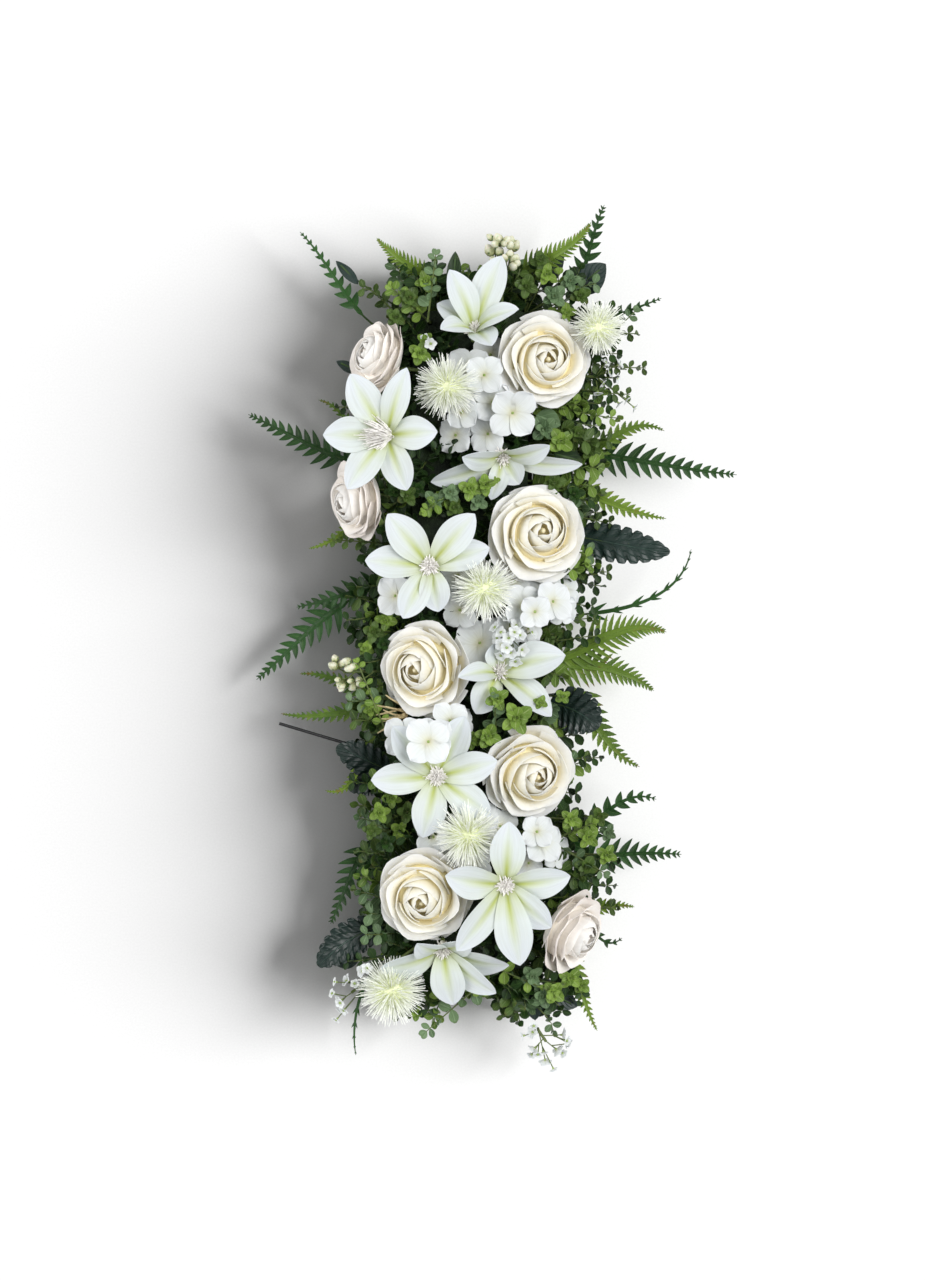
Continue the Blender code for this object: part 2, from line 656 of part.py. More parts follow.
def stem_path(start, facing, place):
    """Path from a bloom down to just above a place on the foam, and on into its hole."""
    above = np.array((place[0], place[1], FOAM_TOP + STEM_LIFT), float)
    drop = start[2] - above[2]
    corners = (start, start - facing * 0.45 * drop, above + (0, 0, 0.4 * drop), above)
    path = list(bezier(corners, np.array((0, 0.5, 1))))
    return path, path + [np.array((place[0], place[1], FOAM_TOP - ROOT_DEPTH + SEAT_GAP))]


def free_places(start):
    """Free places on top of the foam, the nearest to a point first."""
    half_width = FOAM_WIDTH / 2 - HOLE_EDGE
    half_length = FOAM_LENGTH / 2 - HOLE_EDGE
    places = product(np.arange(-half_width, half_width + 1, HOLE_PITCH),
                     np.arange(-half_length, half_length + 1, HOLE_PITCH))
    taken = [mouth for mouth, inward, radius in roots if inward[2] < 0]
    free = [place for place in places
            if all(math.dist(place, mouth[:2]) > HOLE_SPACING for mouth in taken)]
    return sorted(free, key=lambda place: (math.dist(place, start[:2]), place))


def route_stem(name, start, facing, radius=STEM_RADIUS):
    """Stem from a bloom to the nearest place on the foam that it reaches clear of the rest."""
    for place in free_places(start):
        above, path = stem_path(start, facing, place)
        if is_clear(tube(above, radius), name):
            roots.append((np.array((*place, FOAM_TOP)), np.array((0, 0, -1)), radius))
            remember(name, tube(path, radius))
            return path
    raise ValueError(f"no room for the stem of {name}")


def stem_points(stem, count, end=0.85):
    """Points spread along a stem, from its top downwards."""
    lengths = [0]
    for here, there in zip(stem, stem[1:]):
        lengths.append(lengths[-1] + np.linalg.norm(there - here))
    places = np.linspace(0.02, end, count) * lengths[-1]
    return [np.array([np.interp(place, lengths, [point[axis] for point in stem]) for axis in range(3)])
            for place in places]


def leaf_faces(base, outer, flip):
    """Faces of a thin leaf on a stem's wall. base is its four wall corners, outer its edge."""
    a_top, a_low, b_top, b_low = base
    rim = [a_top, *outer, b_top]
    faces = [(rim[0], rim[k], rim[k + 1]) for k in range(1, len(rim) - 1)]
    rim = [a_low, *outer, b_low]
    faces += [(rim[0], rim[k + 1], rim[k]) for k in range(1, len(rim) - 1)]
    faces += [(a_top, a_low, outer[0]), (b_top, outer[-1], b_low)]
    return [face[::-1] for face in faces] if flip else faces


def stem_rings(path, widths, thickness, twist=0.0):
    """Four corners of a stem at each point of its path, with its side and upward axes."""
    last = len(path) - 1
    rings = []
    for k, centre in enumerate(path):
        tangent = unit(path[min(k + 1, last)] - path[max(k - 1, 0)])
        side = unit(np.cross(tangent, (0, 0, 1)))
        above = np.cross(side, tangent)
        angle = twist * k
        side, above = (side * math.cos(angle) + above * math.sin(angle),
                       above * math.cos(angle) - side * math.sin(angle))
        half = side * widths[k] / 2
        rise = above * thickness[k] / 2
        corners = (centre + half + rise, centre + half - rise, centre - half - rise, centre - half + rise)
        rings.append((corners, tangent, side, above))
    return rings


def leafy_stem(rings, leaves, tip):
    """Closed stem with leaves drawn out of its side walls and a pointed tip.

    leaves holds, for a stretch of the stem and a side of +1 or -1, the points of a leaf's edge.
    A leaf that has no room is left off.
    """
    points = [corner for corners, *_ in rings for corner in corners]
    faces = [(3, 2, 1), (3, 1, 0)]
    for k in range(len(rings) - 1):
        a, b = 4 * k, 4 * k + 4
        faces += [(a + 3, a, b), (a + 3, b, b + 3), (a + 1, a + 2, b + 2), (a + 1, b + 2, b + 1)]
        for side, top, low in ((1, 0, 1), (-1, 3, 2)):
            base = (a + top, a + low, b + top, b + low)
            outer = leaves.get((k, side))
            if outer is not None and is_clear(loose_leaf([points[n] for n in base], outer)):
                numbers = range(len(points), len(points) + len(outer))
                points.extend(outer)
                faces += leaf_faces(base, list(numbers), side < 0)
                continue
            wall = [(base[1], base[3], base[2]), (base[1], base[2], base[0])]
            faces += [face[::-1] for face in wall] if side < 0 else wall
    end = 4 * (len(rings) - 1)
    number = len(points)
    points.append(tip)
    corners = range(end, end + 4)
    faces += [(here, there, number) for here, there in zip(corners, (*corners[1:], end))]
    return np.array(points), faces


def loose_leaf(corners, outer):
    """One leaf by itself, for finding out whether it has room."""
    count = len(outer)
    faces = leaf_faces((count, count + 1, count + 2, count + 3), list(range(count)), False)
    faces += [(count, count + 2, count + 1), (count + 1, count + 2, count + 3)]
    return np.array([*outer, *corners]), faces


def side_path(mouth, tip, tip_azimuth, wave, share):
    """Curve from a mouth in the foam's side to a tip. wave lifts or lowers its middle."""
    outward = outward_from(mouth)
    start = np.array(mouth, float) + outward * 2
    tip = np.array(tip, float)
    reach = np.linalg.norm(tip - start)
    corners = (start, start + outward * FROND_PULL * reach + (0, 0, wave),
               tip - heading(tip_azimuth) * FROND_PULL * reach + (0, 0, FROND_SAG + wave), tip)
    return bezier(corners, share)


def outward_from(mouth):
    """Which way a stem leaves the foam: to the side, or out of an end."""
    if abs(mouth[0]) > FOAM_WIDTH / 2 - 1:
        return np.array((math.copysign(1, mouth[0]), 0, 0))
    return np.array((0, math.copysign(1, mouth[1]), 0))


def frond(mouth, leaf, wave, first):
    """Rings and leaflets of a frond or lobed leaf. The first from a mouth also stands in the foam."""
    tip, tip_azimuth, longest, pairs, kind = leaf
    share = np.concatenate(((0,), np.linspace(BARE_STALK, 0.96, pairs + 1), (1,)))
    path = list(side_path(mouth, tip, tip_azimuth, wave, share))
    outward = outward_from(mouth)
    if first:
        path = [np.array(mouth) - outward * (ROOT_DEPTH - SEAT_GAP)] + path
    else:
        path[0] = path[0] - outward
    stalk = len(path) - pairs - 2
    taper = np.linspace(1, FROND_TAPER, len(path) - 1) * (1 if first else 0.8)
    rings = stem_rings(path[:-1], FROND_WIDTH * taper, FROND_THICKNESS * taper)
    leaves = {}
    for pair in range(pairs):
        k = stalk + pair
        corners, tangent, side, above = rings[k]
        share = pair / pairs
        for hand in (1, -1):
            back = corners[0 if hand > 0 else 3]
            front = rings[k + 1][0][0 if hand > 0 else 3]
            if kind == "lobed":
                length = longest / 2 * math.sin(math.pi * (0.18 + 0.7 * share)) ** 0.7
                out = hand * side * length + above * LEAFLET_DROOP * length
                leaves[k, hand] = [back * 0.85 + front * 0.15 + out, back * 0.1 + front * 0.9 + out * 0.92]
            else:
                length = longest * (1 - LEAFLET_TAPER * share)
                way = unit(hand * side + LEAFLET_SLANT * tangent)
                leaves[k, hand] = [(back + front) / 2 + way * length - above * LEAFLET_DROOP * length]
    return rings, leaves, path[-1]


def stalk_is_clear(rings):
    """Whether a stem has room past the first few millimetres from the foam."""
    outside = [point for point in middle_line(rings) if beyond_base(point)]
    return is_clear(tube(outside, FROND_ROOM))


def middle_line(rings):
    return [(corners[0] + corners[2]) / 2 for corners, *_ in rings]


def beyond_base(point):
    """Whether a point lies outside the foam and the tray with a little room to spare."""
    return (abs(point[0]) > FOAM_WIDTH / 2 + 5 or abs(point[1]) > FOAM_LENGTH / 2 + 5
            or point[2] > FOAM_TOP + 2)


def side_foliage(mouth, leaves):
    """Fronds or lobed leaves that share one root in the side of the foam."""
    solids = []
    for leaf in leaves:
        for wave in FROND_WAVES:
            rings, leaflets, end = frond(mouth, leaf, wave, not solids)
            if stalk_is_clear(rings):
                solids.append(leafy_stem(rings, leaflets, end))
                break
    roots.append((np.array(mouth, float), -outward_from(mouth), ROOT_RADIUS))
    return solids


def branch(start, tip, leaf, pairs, wave):
    """Rings and round leaves of a branch that rises from a fork."""
    start = np.array(start, float)
    tip = np.array(tip, float)
    reach = np.linalg.norm(tip - start)
    pull = unit(tip - start) * BRANCH_PULL * reach
    corners = (start, start + pull + (0, 0, wave), tip - pull + (0, 0, wave), tip)
    nodes = np.linspace(0.34, 0.93, pairs)
    seat = LEAF_SEAT / reach
    share = [0]
    for node in nodes:
        share += [node - seat, node + seat]
    path = list(bezier(corners, share))
    taper = np.linspace(1, 0.6, len(path))
    rings = stem_rings(path, BRANCH_WIDTH * taper, BRANCH_THICKNESS * taper, BRANCH_TWIST)
    leaves = {}
    for pair in range(pairs):
        k = 1 + 2 * pair
        corners, tangent, side, above = rings[k]
        length = leaf * (1 - 0.45 * pair / pairs)
        lift = LEAF_LIFTS[pair % 2]
        for hand in (1, -1):
            number = 0 if hand > 0 else 3
            back = corners[number]
            front = rings[k + 1][0][number]
            out = unit(hand * side * math.cos(lift) + above * math.sin(lift) + 0.35 * tangent)
            wide = tangent * LEAF_WIDTH * length
            leaves[k, hand] = [back + out * 0.6 * length - wide, front + out * length + 0.6 * wide]
    return rings, leaves, tip


def sprig(name, stem, branches):
    """Branches of small round leaves that leave the stem one below the other."""
    solids = []
    for start, (tip, leaf, pairs) in zip(stem_points(stem, len(branches)), branches):
        for wave in BRANCH_WAVES:
            rings, leaves, end = branch(start, tip, leaf, pairs, wave)
            if is_clear(tube(middle_line(rings) + [end], BRANCH_ROOM), name):
                solids.append(leafy_stem(rings, leaves, end))
                remember(name, solids[-1])
                break
    return solids


def berry(start, place, radius):
    """Berry on a thin stalk, as one turned body along its own axis."""
    way = np.array(place, float) - start
    length = np.linalg.norm(way)
    profile = ((0, -1), (STALK_RADIUS, 0), (STALK_RADIUS, length - radius * 0.9),
               (radius, length - radius * 0.3), (radius * 0.9, length + radius * 0.45), (0, length + radius))
    points, faces = turned(profile, HEAD_SIDES)
    return stand(points, start, unit(way)), faces


def star(start, place, radius):
    """Tiny five-cornered flower on a thin stalk, as one body along its own axis."""
    way = np.array(place, float) - start
    length = np.linalg.norm(way)
    profile = ((0, -1), (STALK_RADIUS, 0), (STALK_RADIUS, length - 3), (radius, length), (0, length - 1))
    points, faces = turned(profile, HEAD_SIDES)
    return stand(points, start, unit(way)), faces


def bare_object(name, solid, collection):
    """Object in metres from a solid in millimetres."""
    points, faces = solid
    mesh = bpy.data.meshes.new(name)
    mesh.from_pydata((points * MM).tolist(), [], faces)
    item = bpy.data.objects.new(name, mesh)
    collection.objects.link(item)
    return item


def tidy_mesh(mesh):
    """Keeps only the largest body of a joined mesh and clears needless edges from its flat faces."""
    work = bmesh.new()
    work.from_mesh(mesh)
    bodies = []
    left = set(work.verts)
    while left:
        body = {left.pop()}
        edge = list(body)
        while edge:
            vertex = edge.pop()
            for link in vertex.link_edges:
                other = link.other_vert(vertex)
                if other in left:
                    left.remove(other)
                    body.add(other)
                    edge.append(other)
        bodies.append(body)
    bodies.sort(key=len)
    for body in bodies[:-1]:
        bmesh.ops.delete(work, geom=list(body), context="VERTS")
    bmesh.ops.dissolve_limit(work, angle_limit=FLAT_ANGLE, verts=work.verts, edges=work.edges)
    bmesh.ops.triangulate(work, faces=work.faces)
    work.to_mesh(mesh)
    work.free()


def combine(name, solids, operation):
    """First solid with the others joined to it or cut from it, as one closed body."""
    scene = bpy.context.scene.collection
    pieces = bpy.data.collections.new(name + "_pieces")
    scene.children.link(pieces)
    item = bare_object(name, solids[0], scene)
    for solid in solids[1:]:
        bare_object(name + "_piece", solid, pieces)
    if len(solids) > 1:
        join = item.modifiers.new("join", "BOOLEAN")
        join.operation = operation
        join.solver = "MANIFOLD"
        join.operand_type = "COLLECTION"
        join.collection = pieces
        finished = item.evaluated_get(bpy.context.evaluated_depsgraph_get())
        mesh = bpy.data.meshes.new_from_object(finished)
        item.modifiers.remove(join)
        item.data = mesh
        tidy_mesh(mesh)
    for piece in list(pieces.objects):
        bpy.data.objects.remove(piece)
    bpy.data.collections.remove(pieces)
    return item


def paint(item, kind):
    """Gives an object its own plain material."""
    colour, roughness = PAINTS[kind]
    material = bpy.data.materials.new(item.name)
    material.use_nodes = True
    shader = material.node_tree.nodes["Principled BSDF"]
    shader.inputs["Base Color"].default_value = (*colour, 1)
    shader.inputs["Roughness"].default_value = roughness
    shader.inputs["Metallic"].default_value = 0
    item.data.materials.clear()
    item.data.materials.append(material)


def rounded_loop(half_length, half_width, radius, height, steps=2):
    """Points of a rectangle with round corners, anticlockwise from above."""
    loop = []
    for quarter, (x, y) in enumerate(((1, 1), (-1, 1), (-1, -1), (1, -1))):
        for step in range(steps + 1):
            angle = math.pi / 2 * (quarter + step / steps)
            loop.append((x * (half_width - radius) + radius * math.cos(angle),
                         y * (half_length - radius) + radius * math.sin(angle), height))
    return loop


def stacked(loops):
    """Closed body whose skin runs through the loops in turn and is capped at both ends."""
    count = len(loops[0])
    points = [point for loop in loops for point in loop]
    faces = []
    for level, k in product(range(len(loops) - 1), range(count)):
        a = level * count + k
        b = level * count + (k + 1) % count
        faces += [(a, b, b + count), (a, b + count, a + count)]
    end = (len(loops) - 1) * count
    for k in range(1, count - 1):
        faces += [(0, k + 1, k), (end, end + k, end + k + 1)]
    return np.array(points, float), faces


def base_solids():
    """The foam without its holes, and the tray."""
    half_length = FOAM_LENGTH / 2
    half_width = FOAM_WIDTH / 2

    def loop(offset, height):
        return rounded_loop(half_length + offset, half_width + offset, FOAM_CORNER + offset, height)

    bottom = TRAY_FLOOR + SEAT_GAP
    foam = stacked([loop(-FOAM_EDGE, bottom), loop(0, bottom + FOAM_EDGE), loop(0, FOAM_TOP - FOAM_EDGE),
                    loop(-FOAM_EDGE, FOAM_TOP)])
    outside = SEAT_GAP + TRAY_WALL
    rim = outside + TRAY_LIP
    under_lip = TRAY_HEIGHT - TRAY_WALL
    tray = stacked([loop(outside - TRAY_DRAFT, 0), loop(outside, under_lip), loop(rim, under_lip),
                    loop(rim, TRAY_HEIGHT), loop(SEAT_GAP, TRAY_HEIGHT), loop(SEAT_GAP, TRAY_FLOOR)])
    return foam, tray


def hole(mouth, inward, radius):
    """Square cutter for the hole that a root stands in."""
    path = [mouth - inward * HOLE_MOUTH, mouth + inward * ROOT_DEPTH]
    return tube(path, (radius + HOLE_CLEARANCE) * math.sqrt(2))


def plan_blooms():
    """Solids of every bloom. All the heads are placed first, so that stems run between them."""
    heads = []
    for kind, make_head, table in (("rose", rose_head, ROSES), ("clematis", clematis_head, CLEMATIS),
                                   ("pincushion", pincushion_head, PINCUSHIONS)):
        for number, values in enumerate(table, 1):
            points, faces, ring, start, facing = make_head(*values)
            remember(f"{kind}_{number}", (points, faces))
            heads.append((f"{kind}_{number}", kind, points, faces, ring, start, facing))
    groups = [(f"hydrangea_{number}", hydrangea_head(f"hydrangea_{number}", florets))
              for number, florets in enumerate(HYDRANGEAS, 1)]
    nodes = []
    for name, kind, points, faces, ring, start, facing in heads:
        path = route_stem(name, start, facing)
        if ring:
            solids = [draw_stem(points, faces, ring, path, STEM_RADIUS)]
        else:
            solids = [(points, faces), tube(path, STEM_RADIUS)]
        nodes.append((name, kind, solids))
    for name, placements in groups:
        nodes.append((name, "hydrangea", join_florets(name, placements)))
    return nodes


def join_florets(name, placements):
    """Stem under the group's first floret, and the florets whose stalks reach it."""
    heart, azimuth, elevation, width = placements[0]
    path = route_stem(name, heart - heading(azimuth, elevation) * 2, heading(azimuth, elevation))
    solids = [tube(path, STEM_RADIUS)]
    joints = stem_points(path, HUNG_FROM)
    for heart, azimuth, elevation, width in placements:
        for joint in sorted(joints, key=lambda joint: np.linalg.norm(joint - heart + (0, 0, 10))):
            solid = floret_stalk(heart, azimuth, elevation, width, joint)
            if is_clear(solid, name):
                remember(name, solid)
                solids.append(solid)
                break
    return solids


def plan_stem_end():
    """The bare stem end that sticks out of the left side."""
    mouth, tip = (np.array(point, float) for point in STEM_END)
    outward = outward_from(mouth)
    roots.append((mouth, -outward, STEM_END_RADIUS))
    path = (mouth - outward * (ROOT_DEPTH - SEAT_GAP), mouth, mouth + outward * 8, tip)
    remember("stem_end", tube(path[2:], STEM_END_RADIUS))
    return [("stem_end", "stem_end", [tube(path, STEM_END_RADIUS)])]


def plan_foliage():
    """Solids of the leaves and ferns in the sides, then of all that stands between the blooms."""
    nodes = []
    for kind, edge, table in (("dark_leaf", "lobed", DARK_LEAVES), ("fern_dark", "pointed", FERNS_DARK),
                              ("fern_light", "pointed", FERNS_LIGHT)):
        for number, (mouth, leaves) in enumerate(table, 1):
            name = f"{kind}_{number}"
            solids = side_foliage(mouth, [(*leaf, edge) for leaf in leaves])
            for solid in solids:
                remember(name, solid)
            nodes.append((name, kind, solids))
    for number, (fork, branches) in enumerate(SPRIGS, 1):
        name = f"sprig_{number}"
        path = route_stem(name, np.array(fork, float), heading(0, 90), TWIG_RADIUS)
        nodes.append((name, "sprig", [tube(path, TWIG_RADIUS)] + sprig(name, path, branches)))
    for kind, table, make_head in (("berry_sprig", BERRY_SPRIGS, berry), ("waxflower", WAXFLOWERS, star)):
        for number, (fork, radius, places) in enumerate(table, 1):
            name = f"{kind}_{number}"
            path = route_stem(name, np.array(fork, float), heading(0, 90), TWIG_RADIUS)
            heads = on_stalks(name, path, places, radius, make_head)
            nodes.append((name, kind, [tube(path, TWIG_RADIUS)] + heads))
    return nodes


def on_stalks(name, stem, places, radius, make_head):
    """Berries or stars on stalks that leave the stem one below the other."""
    solids = []
    for start, place in zip(stem_points(stem, len(places), STALKS_FROM), places):
        solid = make_head(start, place, radius)
        if is_clear(solid, name):
            remember(name, solid)
            solids.append(solid)
    return solids


def clear_start():
    """Empties the scene."""
    for item in list(bpy.data.objects):
        bpy.data.objects.remove(item)


def build():
    clear_start()
    foam, tray = base_solids()
    remember("foam", foam)
    remember("tray", tray)
    nodes = plan_blooms() + plan_stem_end() + plan_foliage()
    nodes.append(("tray", "tray", [tray]))
    for name, kind, solids in nodes:
        paint(combine(name, solids, "UNION"), kind)
    holes = [hole(*root) for root in roots]
    paint(combine("foam", [foam] + holes, "DIFFERENCE"), "foam")


build()
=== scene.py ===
"""Looks of a long low arrangement of silk flowers and moulded foliage in a foam-filled tray.

Shapes are worked out in millimetres, in the frame of the CAD part, and turned to metres as each
mesh is made. Azimuths are degrees from +X towards +Y, and elevations are degrees above the level.
Each bloom, frond, leaf and sprig follows the same middle lines and outlines as the solid that it
stands for. Where the solid left out a petal, a leaflet or a leaf for want of room, so does the
piece here: it looks at the solid's own mesh to find out.
"""

import math

import bpy
import numpy as np
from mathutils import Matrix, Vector
from mathutils.bvhtree import BVHTree


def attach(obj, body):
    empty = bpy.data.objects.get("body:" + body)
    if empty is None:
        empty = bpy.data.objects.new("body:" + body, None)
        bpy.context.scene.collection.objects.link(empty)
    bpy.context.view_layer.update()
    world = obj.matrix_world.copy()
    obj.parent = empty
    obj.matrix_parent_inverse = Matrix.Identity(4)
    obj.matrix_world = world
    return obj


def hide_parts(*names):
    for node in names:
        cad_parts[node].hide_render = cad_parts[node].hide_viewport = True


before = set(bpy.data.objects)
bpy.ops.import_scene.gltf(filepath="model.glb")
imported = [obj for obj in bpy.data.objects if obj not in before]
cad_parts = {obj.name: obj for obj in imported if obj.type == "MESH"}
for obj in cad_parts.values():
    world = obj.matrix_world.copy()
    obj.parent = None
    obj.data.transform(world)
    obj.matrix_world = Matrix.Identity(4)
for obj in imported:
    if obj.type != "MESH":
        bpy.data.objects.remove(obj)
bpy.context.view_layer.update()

MM = 0.001
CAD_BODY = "root"
# Edges of a piece that turn by more degrees than this stay sharp
SHARP_FROM = 55
# Thickness of petals and of leaves
CLOTH = 0.5
LEAF = 0.45

# Kinds of piece that stand for CAD nodes: what they are made of, and what their seeds count on from
KINDS = {
    "rose": ("silk", 100),
    "clematis": ("silk", 200),
    "pincushion": ("filament", 300),
    "hydrangea": ("voile", 400),
    "fern_dark": ("moulded", 500),
    "fern_light": ("moulded", 520),
    "dark_leaf": ("cloth", 600),
    "sprig": ("moulded", 700),
    "berry_sprig": ("sprayed", 800),
    "waxflower": ("voile", 900),
}
# Loose growth that stands for no CAD node: the slot and the seed of each piece
LOOSE = {
    "voile_fill": ("hydrangea", 450),
    "cloth_single_leaves": ("dark_leaf", 1300),
    "voile_stars": ("waxflower", 1200),
    "dried_twigs": ("berry_sprig", 1100),
} | {f"moulded_filler_{number}": ("sprig", 1000 + number) for number in range(1, 7)}
# Solids that the loose growth keeps clear of
BLOOM_NAMES = ("rose", "clematis", "pincushion", "hydrangea", "waxflower", "berry")

# Foam, and the stems that stand in it
FOAM_TOP = 50
FOAM_HALF_WIDTH = 58
FOAM_HALF_LENGTH = 330
ROOT_DEPTH = 13
SEAT_GAP = 0.3
STEM_LIFT = 3
STEM_RADIUS = 2.0
TWIG_RADIUS = 1.5
STALK_RADIUS = 0.8

# How far off the solid may be at the tip of a petal, the middle of a floret, the end of a leaflet
# or the middle of a branch for that part to be built
PETAL_WITHIN = 1.5
FLORET_WITHIN = 0.8
LEAFLET_WITHIN = 2.4
BRANCH_WITHIN = 2
# Least distance that loose growth keeps from the blooms
FLORET_CLEAR = 1.0
ROSETTE_CLEAR = 0.8
ROSETTE_HEART_CLEAR = 2
TWIG_CLEAR = 1.5
PLACED_TWIG_CLEAR = 0.4
TOP_TWIG_CLEAR = 2.5
SPRIG_LEAF_CLEAR = 0.8
TWIG_LEAF_CLEAR = 1.0
TOP_LEAF_CLEAR = 1.2

# Roses: petals, profile as (radius, height), half angle, roll and slant of each whorl, from
# outside inwards. The outer whorls flare open and the inner ones close into a dome. The heart, the
# eye and the hip are turned profiles, and a tone is the values of a profile's two ends.
ROSE_WIDTH = 92
ROSE_RIM = 38
ROSE_NECK = 7
ROSE_ROUNDING = 0.20
ROSE_TURN = 0.4
ROSE_ROLL_FROM = 0.78
ROSE_SHIFT = 3.0
ROSE_PETAL_GRID = (12, 13)
ROSE_HEART = ((0, 4), (24, 5), (32, 12), (32, 18), (28, 24), (23, 31), (12, 34), (0, 34))
# The heart and the eye take the gold of the cream colours: painted glow of light deep in the rose.
ROSE_HEART_TONE = (0.42, 0.74)
ROSE_EYE = ((0, 38), (2.6, 39), (3.0, 42), (2.0, 44.6), (0, 45.2))
ROSE_EYE_TONE = (0.5, 0.75)
ROSE_HIP = ((0, -8), (2.4, -8), (4.5, -6), (7, -2.5), (8.5, 1.5), (8, 4), (0, 4))
SEPAL_LENGTH = 24
SEPAL_WIDTH = 9
ROSE_WHORLS = (
    (5, ((8, 2), (34, 5), (38, 17), (46, 23)), 0.86, 3.0, 3.0),
    (5, ((8, 4), (30, 3), (31, 27), (41, 33)), 0.88, 4.0, 3.2),
    (4, ((8, 5), (25, 3), (27, 34), (33, 40)), 1.04, 3.6, 3.4),
    (3, ((7, 6), (24, 4), (28, 38), (22.5, 44.5)), 1.22, 1.4, 3.0),
    (3, ((6, 8), (22, 6), (27.5, 42), (14.5, 46)), 1.28, 0.4, 2.4),
    (3, ((5, 9), (17, 8), (23.5, 45), (8.8, 47.6)), 1.32, 0.3, 1.8),
    (3, ((3, 10), (11, 10), (15, 46.5), (4.6, 48)), 1.40, 0.2, 1.2),
)
# The roses that face away from the lights take the pink silk, whose greyish cast is painted shade and whose
# extra lightness is painted light.
ROSES = (
    # middle of the rim, azimuth and elevation that it faces, width and finish
    ((77, 280, 100), 20, 75, 92, "cream"),
    ((-102, 284, 80), 160, 30, 78, "blush"),
    ((-124, 137, 80), 190, 28, 80, "blush"),
    ((69, 106, 100), 0, 80, 96, "cream"),
    ((-52, -32, 98), 200, 62, 94, "cream"),
    ((63, -136, 96), -40, 65, 92, "cream"),
    ((-48, -256, 104), 230, 72, 92, "cream"),
    ((112, -296, 78), -25, 30, 84, "blush"),
)

# Clematis: a petal is its azimuth and reach seen from above, the rise of its tip and its width
CLEMATIS_ARCH = 0.10
CLEMATIS_FOLD = 0.2
CLEMATIS_CLAW = 2.6
CLEMATIS_POINT = 0.5
CLEMATIS_NECK = 9
CLEMATIS_PETAL_GRID = (22, 13)
CLEMATIS_BOSS = ((0, -7), (2.5, -7), (4.5, -3), (6.0, 0), (5.5, 3), (3.5, 5.4), (0, 6.2))
CLEMATIS_RISES = (0, 5, -5, 10, -10, 15, -15, 20, 26, 32)
CLEMATIS = (
    # middle, azimuth and elevation that it faces, petals, and in the first the way that its
    # stamens are brushed
    ((-82, 202, 118), 180, 80, (
        (3, 50, 12, 30), (73, 68, 20, 24), (121, 70, 4, 31),
        (180, 63, 0, 32), (234, 66, 2, 30), (290, 58, 0, 29)), (-1.1, 0.05, 0.5)),
    ((-40, 73, 108), 90, 85, (
        (17, 62, 4, 28), (49, 68, 8, 30), (129, 66, 6, 32),
        (175, 64, 0, 30), (243, 58, 0, 27), (281, 46, 0, 28))),
    ((-33, -135, 106), 0, 88, (
        (15, 62, 4, 29), (65, 66, 6, 30), (131, 66, 6, 31),
        (183, 65, 2, 29), (257, 62, 0, 31), (324, 66, 2, 28))),
    ((35, -240, 125), -90, 70, (
        (87, 62, 10, 32), (7, 64, 6, 30), (316, 62, 0, 28),
        (280, 82, -6, 34), (234, 82, -6, 26), (172, 60, 6, 32))),
    ((4, 306, 90), 85, 55, (
        (70, 80, 2, 31), (112, 65, 14, 27), (24, 48, 36, 24),
        (182, 33, 46, 22), (143, 46, 2, 28), (-43, 24, 34, 26))),
    ((32, 184, 88), -80, 50, (
        (201, 76, 4, 26), (186, 40, 40, 24), (256, 46, -4, 18),
        (300, 34, -2, 26), (9, 47, 38, 24), (-7, 80, 6, 20))),
    ((-27, -305, 88), -90, 45, (
        (-15, 68, 6, 28), (-41, 70, 0, 28), (-80, 59, -8, 32),
        (199, 66, 4, 30), (165, 26, 42, 28), (20, 28, 44, 26))),
    ((28, -33, 84), 60, 60, (
        (15, 69, 8, 36), (-39, 68, 4, 28), (-119, 46, 6, 28),
        (185, 40, 16, 18), (95, 30, 4, 26), (60, 36, 2, 26))),
)
STAMENS = 190
STAMEN_LENGTH = 7.5
STAMEN_RADII = (0.6, 0.5, 0.5, 0.85, 0.4)

# Needle blooms: middle and reach of the needles. A needle is as long as one of these shares of
# the solid's spike, its radii are those at its root and tip, and the bed is what it grows from.
NEEDLE_CORE = 9
NEEDLES = 800
NEEDLE_LENGTHS = (0.62, 0.8, 0.9, 1.0)
NEEDLE_RADII = (0.75, 0.32)
NEEDLE_BED = ((0, -15), (8.5, -12.4), (14.5, -4), (14.5, 4), (8.5, 12.4), (0, 15))
PINCUSHIONS = (
    ((-23, 250, 112), 34),
    ((127, 310, 85), 30),
    ((14, 50, 112), 34),
    ((-2, -193, 118), 36),
    ((-78, -348, 85), 36),
)

# Hydrangea florets: middle, azimuth and elevation that it faces, width
FLORET_NECK = 3
FLORET_LOBE_TURN = 45
FLORET_EYE = ((0, -1.2), (1.2, -0.8), (1.7, 0), (1.2, 1.0), (0, 1.5))
HUNG_FROM = 9
FLORET_DROPS = (0, -6, 6, -12, 12, -18, -24, 18)
HYDRANGEAS = (
    (((0, 268, 90), 120, 75, 52), ((12, 245, 86), 20, 80, 56), ((42, 225, 88), -60, 70, 54),
     ((20, 285, 84), 60, 65, 44)),
    (((52, 34, 92), 10, 75, 48), ((82, 38, 84), 20, 60, 46), ((10, -3, 98), 150, 75, 58),
     ((-74, 44, 84), 190, 60, 46), ((34, 8, 88), -40, 70, 40)),
    (((-41, -100, 118), 120, 80, 52), ((-66, -96, 104), 160, 65, 44), ((-20, -80, 98), 60, 70, 42)),
    (((72, -202, 88), 20, 65, 46), ((-33, -214, 84), 200, 60, 46), ((30, -186, 88), 60, 70, 44),
     ((4, -222, 84), -90, 75, 42)),
)

